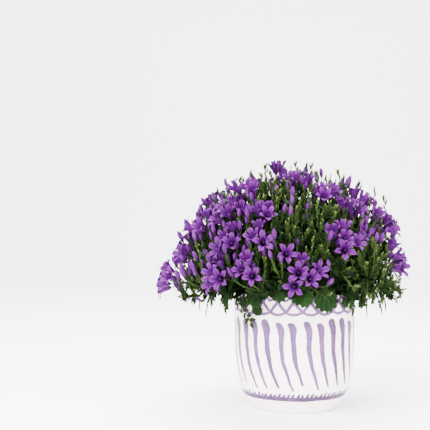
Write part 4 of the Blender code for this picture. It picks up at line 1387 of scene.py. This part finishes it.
def petal_finish():
    """Violet petals with a deeper middle vein and paler ribbed outsides, painted darker down the throat as
    shade and paler at the lobe edges as a highlight.
    """
    made = LivingFinish("petal", (0.045, 0.0015, 0.075), 0.55, 160.0, 0.08)
    vein = made.veins(Side_Veins=9.0, Slant=1.0, Middle_Width=0.16)
    lobe = made.mix(made.shade, (0.032, 0.0009, 0.054), (0.070, 0.0026, 0.108))
    # Lobes are paler towards their edges: a painted highlight where the curled rims catch the light.
    lobe = made.mix(made.spread(abs(made.across), 0.5, 1.0) * 0.5, lobe, (0.115, 0.009, 0.16))
    lobe = made.mix(vein * 0.6, lobe, (0.022, 0.0006, 0.042))
    # Inside the bell the lobe colour darkens down into the throat: painted shade.
    inside = made.mix(made.spread(made.along, 0.52, 0.3), lobe, (0.036, 0.0015, 0.062))
    outer = made.mix(made.shade, (0.031, 0.0016, 0.053), (0.080, 0.007, 0.118))
    outer = made.mix(vein * 0.4, outer, (0.024, 0.0006, 0.044))
    outer = made.mix(made.spread(made.along, 0.3, 0.0), outer, (0.018, 0.003, 0.03))
    violet = made.mix(made.behind(), outer, inside)
    return made.complete(violet, 0.42, 0.6, vein * 0.7 + made.relief, 0.4, 0.0003)


def ribbed_bud_form():
    """A closed flower: ribbed, slightly twisted and drawn to a point."""
    wider = [(0.9, 0.6), (1.5, 2.0), (1.9, 4.2), (2.25, 6.6)]
    narrower = [(2.2, 8.4), (1.6, 10.4), (0.8, 11.8), (0.05, 12.6)]
    return in_mm(round_form(wider + narrower, 15, 5, 0.13, 0.8))


def calyx_form():
    """The calyx: a round green ovary under the flower, and five narrow sepals that lie along it."""
    ovary = round_form([(0.5, -0.5), (1.5, 0.2), (1.95, 1.2), (1.7, 2.3), (1.2, 2.9)], 10, 5, 0.06)
    return in_mm(joined_form(ovary, sepals_form((1.7, 1.5), (3.3, 4.2), (4.6, 7.6), 0.75)))


STALK, LEAF, BUD, PETAL, SEPAL = range(5)
STEM_FINISHES = [
    # The wiry stems' second colour is a dark green that covers stalks of low tone: in patches, and on the
    # inner twigs as painted shade.
    stalk_finish("wiry_stem", (0.028, 0.048, 0.009), (0.006, 0.011, 0.0035)),
    stem_leaf_finish(),
    bud_finish(),
    petal_finish(),
    stalk_finish("calyx", (0.016, 0.025, 0.007), (0.012, 0.005, 0.016)),
]
STEM_LEAVES = leaf_forms(0.25, 5, 11, 2, (0.3, 0.12), (0.45, 0.2), (0.2, 0.05))
NARROW_LEAVES = leaf_forms(0.12, 0, 4, 1, (0.5, 0.1), (0.3, 0.3), (0.6, -0.1))
SMALL_LEAVES = leaf_forms(0.2, 3, 7, 1, (0.3, 0.15), (0.5, 0.25), (0.2, 0.05))
INNER_LEAVES = leaf_forms(0.22, 0, 4, 1, (0.3, 0.15), (0.5, 0.25), (0.2, 0.05))
GREEN_BUD_FORM = green_bud_form()
RIBBED_BUD = ribbed_bud_form()
CALYX = calyx_form()


def springing(side, along, forward, tilt=0.3):
    """The turn of a leaf that springs to one side of its stem and leans forward along it."""
    return blade_frame(side + along * forward, along - side * tilt)


def dress_shoot(piece, path, luck, leaves, buds, tone, bold=1.0):
    """Small leaves up the lower part of a shoot, and green buds in narrow leaves on its upper part."""
    for place in range(leaves):
        point, along = along_path(path, 0.06 + 0.4 * (place + luck.random()) / leaves)
        side = sideways(along, place * GOLDEN + any_turn(luck))
        turn = springing(side, along, luck.uniform(0.4, 1.3))
        size = STEM_LEAF_LENGTH * luck.uniform(0.42, 0.72)
        # Small leaves low on a shoot take a darker tone: partly older darker leaves, partly painted shade
        # down in the cushion.
        piece.add(luck.choice(SMALL_LEAVES), LEAF, tone * luck.uniform(0.0, 0.4), turn, point, size)
    for place in range(buds):
        point, along = along_path(path, 1.0 - 0.62 * place / buds)
        side = sideways(along, place * GOLDEN + luck.uniform(-0.4, 0.4))
        way = unit(side * luck.uniform(0.1, 0.35) + along) if place else along
        size = GREEN_BUD_LENGTH * luck.uniform(0.6, 0.95) * bold
        stand = side * SHOOT_RADIUS + way * 0.0012 * (place > 0)
        # Buds lower on a shoot are darker and the tip bud lighter: partly the paler young tip, partly painted
        # shade down in the cushion and painted light at its top.
        shade = tone * (1.0 - 0.55 * place / buds) if place else min(1.0, tone + 0.35)
        piece.add(GREEN_BUD_FORM, BUD, shade, axis_frame(way, luck.uniform(0, 1.2)), point + stand, size)
        if place % 2:
            turn, leaf = blade_frame(side * 0.6 + along, along - side * 0.4), luck.choice(NARROW_LEAVES)
            piece.add(leaf, LEAF, shade * 0.8, turn, point, size * luck.uniform(0.9, 1.4))


def stem_paths(stem):
    """The trunk of a stem and all its branches."""
    return [stem.trunk] + [branch.points for branch in stem.branches]


def add_inner_leaves(piece, stem, luck):
    """Leaves on a stem and its branches which fill the inside of the cushion, painted near black as shade."""
    paths = stem_paths(stem)
    for _ in range(INNER_LEAVES_PER_STEM):
        share = luck.uniform(0.1, 0.9)
        point, along = along_path(luck.choice(paths), share)
        low_right = point.x > 0.06 and point.z < 0.19
        if low_right and luck.random() < 0.4:
            continue
        turn = springing(sideways(along, any_turn(luck)), along, luck.uniform(0.2, 1.0))
        size = STEM_LEAF_LENGTH * luck.uniform(0.7, 1.3) * (1.0 if share < 0.55 else 0.55)
        # A tone below nought paints these leaves near black: painted shade inside the cushion, a little
        # lighter low on the right.
        tone = luck.uniform(-0.2, 0.08) + 0.3 * low_right
        piece.add(luck.choice(INNER_LEAVES), LEAF, tone, turn, point, size)


# The tips of the sprigs that stand up out of the cushion, in mm
UPPER_SPRIGS = (
    (-33, -6, 276), (-28, 8, 270), (-39, 12, 268), (14, -10, 276), (20, 4, 277), (26, -22, 268),
    (51, -4, 270), (57, -16, 263), (92, -8, 250), (74, -20, 257), (-62, -14, 262), (2, -24, 279),
    (104, 6, 240), (-88, -10, 247),
)  # fmt: skip
# The sprays that hang over the rim: azimuth, radius and height where each turns down, the same at its tip,
# and the length of its last leaf, in degrees and mm
TRAILING = (
    (-63, 73, 132, -41, 74, 103, 8), (-80, 94, 138, -79, 102, 115, 11), (-70, 82, 138, -66, 85, 118, 9),
    (66, 82, 140, 65, 88, 121, 15), (75, 96, 148, 76, 104, 127, 15), (55, 75, 138, 57, 77, 120, 13),
    (100, 90, 144, 99, 101, 117, 13), (140, 82, 140, 144, 89, 112, 12), (-140, 82, 142, -137, 90, 114, 13),
    (178, 76, 140, 174, 82, 110, 13), (-112, 94, 144, -110, 104, 120, 12),
)  # fmt: skip


def thinned(azimuth, elevation):
    """The share of side shoots left out here, so that low flowers and old leaves show between the stems."""
    azimuth = (azimuth + 180) % 360 - 180
    if -38 < azimuth < 42 and elevation < 11:
        return 0.9
    if -110 < azimuth < -48 and elevation < 20:
        return 0.4
    return 0.4 if 48 < azimuth < 110 and elevation < 16 else 0.0


def flowering(azimuth, elevation):
    """The share of side shoots here that end in a purple bud."""
    azimuth = (azimuth + 180) % 360 - 180
    if -120 < azimuth < -20 and elevation < 60:
        return 0.6 if elevation > 20 else 0.85
    if 42 < azimuth < 120:
        return 0.5 if elevation > 18 else 0.15 if elevation > 2 else 0.0
    return 0.15


def bloom_cores():
    """Points down the middle of every bloom, which no side shoot comes near."""
    blooms = [bloom for stem in stems for head in stem.heads for bloom in head.blooms]
    lines = [(bloom.base, bloom.axis * BLOOM_LENGTH * bloom.size) for bloom in blooms]
    return np.array([tuple(base + line * share) for base, line in lines for share in (0.3, 0.65, 1.0, 1.2)])


def spare_shoots():
    """The side shoots, as (stem number, path, whether a purple bud ends it), each from the nearest branch."""
    cores, luck, chance = bloom_cores(), random.Random(77), random.Random(78)
    starts = [
        (number, *along_path(path, share))
        for number, stem in enumerate(stems)
        for path in stem_paths(stem)
        for share in (0.2, 0.35, 0.5, 0.65, 0.8)
    ]
    places = np.array([tuple(point) for _, point, _ in starts])
    found = []

    def sprout(tip, wanted, facing, end_pull):
        """The owner, the reach and the path of a shoot that springs near the wanted place."""
        owner, start, way = starts[int(np.argmin(np.linalg.norm(places - np.array(wanted), axis=1)))]
        length = (tip - start).length
        path = hermite(start, unit(way + facing) * length * 0.8, tip, facing * length * end_pull, 6)
        return owner, length, path

    for number in range(SPARE_SHOOTS + FRONT_SHOOTS):
        elevation = math.degrees(math.asin(-0.16 + 1.16 * (number % SPARE_SHOOTS + 0.5) / SPARE_SHOOTS))
        azimuth, reach = number * GOLDEN_TURN, luck.uniform(0.80, 0.985)
        if number >= SPARE_SHOOTS:
            azimuth, elevation = luck.uniform(-32, 48), luck.uniform(13, 64)
        if chance.random() < thinned(azimuth, elevation):
            continue
        tip = dome_point(azimuth, elevation, reach)
        facing = unit(dome_normal(tip) * 0.38 + UP * 0.85 + shaken(luck, 0.14))
        owner, length, path = sprout(tip, tip - facing * luck.uniform(0.030, 0.045), facing, 0.9)
        if length < 0.012:
            continue
        spots = np.array([tuple(point) for point in path])
        if np.linalg.norm(spots[:, None] - cores[None], axis=2).min() >= CORE_ROOM:
            found.append((owner, path, chance.random() < flowering(azimuth, elevation)))
    for place in UPPER_SPRIGS:
        tip = Vector(place) / 1000
        owner, _, path = sprout(tip, tip - UP * 0.04, UP, 0.8)
        found.append((owner, path, False))
    return found


def inner_twigs():
    """The short leafy twigs inside the cushion, as (stem number, path), each from the nearest stem."""
    luck, found = random.Random(79), []
    starts = [
        (number, along_path(path, share)[0])
        for number, stem in enumerate(stems)
        for path in stem_paths(stem)
        for share in (0.3, 0.5, 0.7)
    ]
    for number in range(INNER_TWIGS):
        elevation = math.degrees(math.asin(0.05 + 0.9 * (number + 0.5) / INNER_TWIGS))
        tip = dome_point(number * GOLDEN_TURN + 60, elevation, luck.uniform(0.55, 0.76))
        owner, start = min(starts, key=lambda start: (start[1] - tip).length)
        found.append((owner, hermite(start, shaken(luck, 0.01), tip, UP * 0.01 + shaken(luck, 0.01), 3)))
    return found


def trailing_sprays():
    """The hanging sprays, as (stem number, way up, way down, last leaf), each from the nearest stem."""
    starts, found = [along_path(stem.trunk, 0.6)[0] for stem in stems], []
    for azimuth, radius, height, tip_azimuth, tip_radius, tip_height, leaf in TRAILING:
        out = radial(azimuth)
        bend = (out * radius + UP * height) / 1000
        tip = (radial(tip_azimuth) * tip_radius + UP * tip_height) / 1000
        owner, start = min(enumerate(starts), key=lambda one: (one[1] - bend).length)
        rise = hermite(start, (bend - start) * 0.7 + UP * 0.02, bend, out * 0.016 - UP * 0.006, 6)
        fall = hermite(bend, out * 0.012 - UP * 0.012, tip, (tip - bend) * 0.7 - UP * 0.01, 6)
        found.append((owner, rise, fall, leaf / 1000))
    return found


def dress_spray(piece, fall, luck, last):
    """Small toothed leaves down a hanging spray, the largest at its tip."""
    for place in range(13):
        point, along = along_path(fall, 0.05 + 0.95 * place / 12)
        outward = unit(Vector((point.x, point.y, 0.02)))
        side = unit(along.cross(outward)) * (1, -1)[place % 2] + outward * luck.uniform(0.0, 0.15)
        turn = blade_frame(side * (place < 12) + along * luck.uniform(0.5, 1.2), outward + shaken(luck, 0.2))
        size = last if place == 12 else luck.uniform(0.008, 0.011)
        piece.add(luck.choice(STEM_LEAVES), LEAF, luck.uniform(0.2, 0.8), turn, point, size)


def add_branch(piece, branch, headed, luck):
    """A branch with its toothed leaves and, where no head ends it, its green buds."""
    tone = 0.2 + 0.4 * luck.random()
    piece.add(tube_form(branch.points, BRANCH_RADIUS * 0.8, TWIG_RADIUS * 0.8, 6, 5), STALK, tone)
    for leaf in branch.leaves:
        turn, stalk = blade_frame(leaf.along, leaf.normal), [leaf_foot(leaf), leaf.base + leaf.along * 0.001]
        # Stem leaves above 0.15 m lie inside the cushion under the heads and get a tone below nought: painted
        # shade, near black.
        tone = luck.random() * 0.4 if leaf.base.z < 0.15 else -0.25
        piece.add(tube_form(stalk, 0.0006, 0.0004, 5), STALK, tone)
        piece.add(luck.choice(STEM_LEAVES), LEAF, tone, turn, leaf.base, STEM_LEAF_LENGTH * leaf.size)
    dress_shoot(piece, branch.points, luck, 6, 0 if headed else 8, luck.random())


def add_side_shoot(piece, path, ends_purple, bold, luck):
    """A thin side shoot in green bud, or with fewer green buds and a long purple one at its end."""
    low_right = path[-1].x > 0.055 and path[-1].z < 0.2
    tone = luck.uniform(0.5, 1.0) if low_right else luck.random()
    radius, taper = (SHOOT_RADIUS * 1.5, 0.9) if ends_purple else (SHOOT_RADIUS, 0.7)
    piece.add(tube_form(path, radius, radius * taper, 4), STALK, 0.2 + 0.8 * tone)
    if ends_purple:
        tip, way = path[-1], unit(path[-1] - path[-2])
        turn, size = axis_frame(way, luck.uniform(0, 1.2)), luck.uniform(0.75, 1.2)
        piece.add(RIBBED_BUD, PETAL, 0.2 + tone * 0.5, turn, tip, size)
        piece.add(CALYX, SEPAL, tone, turn, tip, size * 0.8)
    dress_shoot(piece, path, luck, 2, 4 if ends_purple else 8, tone, bold)


def add_twig(piece, path, luck):
    """A short twig of leaves inside the cushion, painted near black as shade."""
    # The twig's stalk and leaves get a tone at or below nought: painted shade.
    piece.add(tube_form(path, SHOOT_RADIUS, SHOOT_RADIUS * 0.7, 3), STALK, 0.0)
    for place in range(9):
        point, along = along_path(path, 0.1 + 0.9 * place / 8)
        turn = springing(sideways(along, place * GOLDEN), along, 0.5)
        size = STEM_LEAF_LENGTH * luck.uniform(0.7, 1.1)
        piece.add(luck.choice(INNER_LEAVES), LEAF, luck.uniform(-0.2, 0.1), turn, point, size)


side_shoots, twigs, hanging = spare_shoots(), inner_twigs(), trailing_sprays()
first_sprig = len(side_shoots) - len(UPPER_SPRIGS)
for number, stem in enumerate(stems):
    luck = random.Random(700 + number)
    piece = Bundle()
    piece.add(tube_form(stem.trunk, TRUNK_RADIUS, BRANCH_RADIUS, 7, 4), STALK, 0.3)
    for place, branch in enumerate(stem.branches):
        add_branch(piece, branch, place < len(stem.heads), luck)
    add_inner_leaves(piece, stem, luck)
    for order, (owner, path, ends_purple) in enumerate(side_shoots):
        if owner == number:
            add_side_shoot(piece, path, ends_purple, 1.25 if order >= first_sprig else 1.0, luck)
    for owner, path in twigs:
        if owner == number:
            add_twig(piece, path, luck)
    for owner, rise, fall, last in hanging:
        if owner == number:
            piece.add(tube_form([*rise, *fall[1:]], SHOOT_RADIUS * 1.8, SHOOT_RADIUS * 1.2, 5), STALK, 0.1)
            dress_spray(piece, fall, luck, last)
    make_piece(stem.name.replace("stem", "leafy_stem"), piece, STEM_FINISHES, "stems", stem.name)

# The flower heads
# Violet bells of five pointed lobes, each on a thin purple stalk from one joint of the stem, in a green calyx
# of five narrow sepals, with a pale style in the throat. Long ribbed buds stand among the open flowers.

LOBES = 5
# Where the columns of points run across a lobe, from edge to edge
LOBE_ACROSS = (-1, -0.82, -0.56, -0.24, 0, 0.24, 0.56, 0.82, 1)
# The tube as (radius, height) in mm, and each lobe as (share of its length, half width in mm)
BELL_CURVE = ((1.2, 0.0), (2.2, 1.1), (2.9, 3.2), (3.5, 5.6), (4.2, 8.0), (5.05, 10.3))
LOBE_CURVE = ((0.14, 2.6), (0.3, 2.95), (0.46, 3.05), (0.62, 2.6), (0.77, 1.75), (0.9, 0.8), (1.0, 0.02))
KNOT = ((0.1, -0.6), (1.0, 0.0), (1.5, 1.6), (1.2, 3.2), (0.2, 4.2))


def bell_form(luck, closed):
    """One flower, its lobes spread, cupped and tilted by chance, and closed up from 0 to 1."""
    spread, cup = luck.uniform(0.92, 1.06) - 0.24 * closed, luck.uniform(-1.0, 1.0)
    points, place = [], []
    for row, (radius, height) in enumerate(BELL_CURVE):
        for lobe in range(LOBES):
            for u in LOBE_ACROSS[:-1]:
                out = radius * (1 - 0.191 * u * u) + 0.25 * (1 - abs(u)) * row / 5
                points.append((lobe, out, radius * math.sin(math.pi / LOBES) * u, height))
                place.append((u, 0.42 * row / 5))
    tips = [[luck.uniform(-most, most) for most in (1.2, 0.6, 0.35)] for _ in range(LOBES)]
    for t, half in LOBE_CURVE:
        s = 1 - t
        ends = (s**3, 3 * s * s * t, 3 * s * t * t, t**3)
        for lobe, (rise, reach, lean) in enumerate(tips):
            far = (5.3, 6.6 - 0.9 * closed, 9.9 - 2.6 * closed, 12.7 * spread + reach)
            up = (10.3, 13.0, 15.4 + 0.4 * rise + 1.8 * closed, 13.0 - 1.1 * cup + rise + 1.6 * closed)
            out, high = (sum(share * end for share, end in zip(ends, line)) for line in (far, up))
            for u in LOBE_ACROSS:
                fold = 0.55 * (abs(u) - 0.25) * math.sin(math.pi * min(1, t * 0.9 + 0.1)) + lean * u * t
                curl = 0.5 * u**4 * math.sin(math.pi * t) * (1 if cup > 0 else -1)
                across = half * u * (0.94 + 0.06 * spread)
                points.append((lobe, out - 0.96 * s**2 * u * u, across, high + fold + curl))
                place.append((u, 0.42 + 0.58 * t))
    lobe, out, side, high = np.array(points).T
    middle = math.tau * (lobe + 0.5) / LOBES
    x = out * np.sin(middle) + side * np.cos(middle)
    y = -out * np.cos(middle) + side * np.sin(middle)
    return np.stack((x, y, high), axis=-1) / 1000, bell_faces(), np.array(place)


def bell_faces():
    """The triangles of a bell: a closed tube of columns for each lobe, then five separate lobes."""
    columns, rows = len(LOBE_ACROSS) - 1, len(BELL_CURVE)
    ring = LOBES * columns
    faces = [net(rows, ring, True)]
    lip, first = (rows - 1) * ring, rows * ring
    for lobe in range(LOBES):
        lines = [[lip + (lobe * columns + c) % ring for c in range(columns + 1)]]
        for row in range(len(LOBE_CURVE)):
            start = first + (row * LOBES + lobe) * (columns + 1)
            lines.append(list(range(start, start + columns + 1)))
        for low, high in zip(lines, lines[1:]):
            for c in range(columns):
                faces.append(np.array(((low[c], low[c + 1], high[c + 1]), (low[c], high[c + 1], high[c]))))
    return np.concatenate(faces)


def style_finish():
    """The pale style, lilac towards its split tip and painted dark at its foot as shade down in the throat.
    """
    made = Finish("style", (0.06, 0.03, 0.08), 0.45, Specular_IOR_Level=0.1)
    along = made.place()[1]
    # The style's foot, down in the throat, is painted dark as shade.
    made.set("Base Color", made.mix(along, (0.02, 0.004, 0.035), (0.075, 0.035, 0.10)))
    made.set("Normal", made.bump(made.mottled(made.where(), 1500.0), 0.3, 0.0001))
    return made.material


def style_form():
    """The style: a thin rod from the throat with a swollen three-lobed tip."""
    rod = [(0.4, 1.0), (0.34, 5.0), (0.34, 8.2), (0.6, 9.4), (0.6, 10.2), (0.05, 10.8)]
    return in_mm(round_form(rod, 6, 3, 0.12))


FLOWER, CALYX_SKIN, PEDICEL, PISTIL, BRACT = range(5)
HEAD_FINISHES = [
    *STEM_FINISHES[PETAL:],
    stalk_finish("flower_stalk", (0.015, 0.018, 0.007), (0.012, 0.004, 0.016)),
    style_finish(),
    STEM_FINISHES[LEAF],
]
STYLE = style_form()


def add_bract(piece, head, luck):
    """A small leaf under the joint of a head, spread out below its flowers."""
    turn = springing(sideways(head.facing, any_turn(luck)), head.facing, luck.uniform(0.1, 0.7), 0.4)
    base = head.joint - head.facing * luck.uniform(0.0015, 0.006)
    piece.add(luck.choice(SMALL_LEAVES), BRACT, 0.5 * luck.random(), turn, base, luck.uniform(0.009, 0.016))


def add_pedicel(piece, head, flower, foot, steps, tone):
    """The thin stalk of a flower or a long bud, from the joint of its head."""
    length = (foot - head.joint).length
    path = hermite(head.joint, head.facing * length * 0.7, foot, flower.axis * length * 0.8, steps)
    piece.add(tube_form(path, PEDICEL_RADIUS * 0.8, PEDICEL_RADIUS * 0.7, 6), PEDICEL, tone)


def add_bloom(piece, head, bloom, luck):
    """An open flower in its calyx, with its style, on its stalk. One that faces up is less open."""
    turn, tone = axis_frame(bloom.axis, bloom.roll + math.radians(90)), luck.random()
    add_pedicel(piece, head, bloom, bloom.base - bloom.axis * 0.0004, 6, tone)
    closed = min(1.0, max(0.0, (bloom.axis.z - 0.3) / 0.45))
    piece.add(bell_form(luck, closed), FLOWER, tone, turn, bloom.base, bloom.size)
    calyx_turn = turn @ Matrix.Rotation(luck.uniform(0, 1.2), 3, "Z")
    piece.add(CALYX, CALYX_SKIN, tone, calyx_turn, bloom.base, bloom.size)
    piece.add(STYLE, PISTIL, tone, turn, bloom.base, bloom.size)


def add_long_bud(piece, head, bud, luck):
    """A long ribbed bud in its calyx on its stalk."""
    turn, tone = axis_frame(bud.axis, luck.uniform(0, 1.2)), luck.random() * 0.4
    add_pedicel(piece, head, bud, bud.base, 5, tone)
    piece.add(RIBBED_BUD, FLOWER, tone, turn, bud.base, bud.size)
    piece.add(CALYX, CALYX_SKIN, tone, turn, bud.base, bud.size * 0.8)


for stem in stems:
    for letter, head in zip("ab", stem.heads):
        solid = f"{stem.name.replace('stem', 'blooms')}_{letter}"
        luck = random.Random(solid)
        piece = Bundle()
        knot = in_mm(round_form(KNOT, 8))
        piece.add(knot, PEDICEL, 0.4, axis_frame(head.facing), head.joint - head.facing * 0.0022)
        for _ in range(9):
            add_bract(piece, head, luck)
        for bloom in head.blooms:
            add_bloom(piece, head, bloom, luck)
        for bud in head.buds:
            add_long_bud(piece, head, bud, luck)
        make_piece(solid.replace("blooms", "flowers"), piece, HEAD_FINISHES, "petals", solid)

# The floor, the light and the camera
# A plain white paper sweep that lies flat under the pot and curves up behind it, large soft lights from the
# front and above, and a camera at the photograph's eye level.


def paper_sweep():
    """White paper that lies flat under the pot and curves up behind it."""
    made = Finish("white_paper", (0.92, 0.92, 0.92), 0.8)
    turn = [(1.6 + 0.8 * math.sin(a), 0.8 - 0.8 * math.cos(a)) for a in np.linspace(0, math.pi / 2, 16)]
    section = [(-3.0, 0.0)] + turn + [(2.4, 3.0)]
    mesh = bpy.data.meshes.new("paper_sweep")
    points = [(x, y, z) for y, z in section for x in (-4.0, 4.0)]
    mesh.from_pydata(points, [], [(2 * n, 2 * n + 1, 2 * n + 3, 2 * n + 2) for n in range(len(section) - 1)])
    mesh.materials.append(made.material)
    mesh.shade_smooth()
    paper = bpy.data.objects.new("paper_sweep", mesh)
    bpy.context.scene.collection.objects.link(paper)
    return paper


def soft_light(name, place, aim, size, power, colour=(1.0, 1.0, 1.0)):
    """A square soft box that faces a point."""
    lamp = bpy.data.lights.new(name, "AREA")
    lamp.size, lamp.energy, lamp.color = size, power, colour
    light = bpy.data.objects.new(name, lamp)
    light.location = place
    light.rotation_euler = (Vector(aim) - Vector(place)).to_track_quat("-Z", "Y").to_euler()
    bpy.context.scene.collection.objects.link(light)


paper_sweep()
soft_light("key_light", (-0.8, -1.3, 1.5), (0, 0, 0.16), 1.1, 215.0)
soft_light("fill_light", (1.3, -1.1, 0.7), (0, 0, 0.14), 1.2, 62.0, (1.0, 0.97, 0.95))
soft_light("top_light", (0.0, 0.3, 1.8), (0, 0, 0.1), 1.5, 150.0)
sky = bpy.data.worlds.new("studio")
sky.use_nodes = True
sky.node_tree.nodes["Background"].inputs["Color"].default_value = (1.0, 1.0, 1.0, 1.0)
sky.node_tree.nodes["Background"].inputs["Strength"].default_value = 2.6
bpy.context.scene.world = sky

lens = bpy.data.cameras.new("camera")
lens.sensor_width, lens.lens = 36.0, 86.1
lens.clip_start, lens.clip_end = 0.05, 20.0
camera = bpy.data.objects.new("camera", lens)
camera.location = (0.0, -1.2, 0.24)
camera.rotation_euler = (math.radians(90 - 0.85), 0.0, math.radians(4.41))
bpy.context.scene.collection.objects.link(camera)
bpy.context.scene.camera = camera
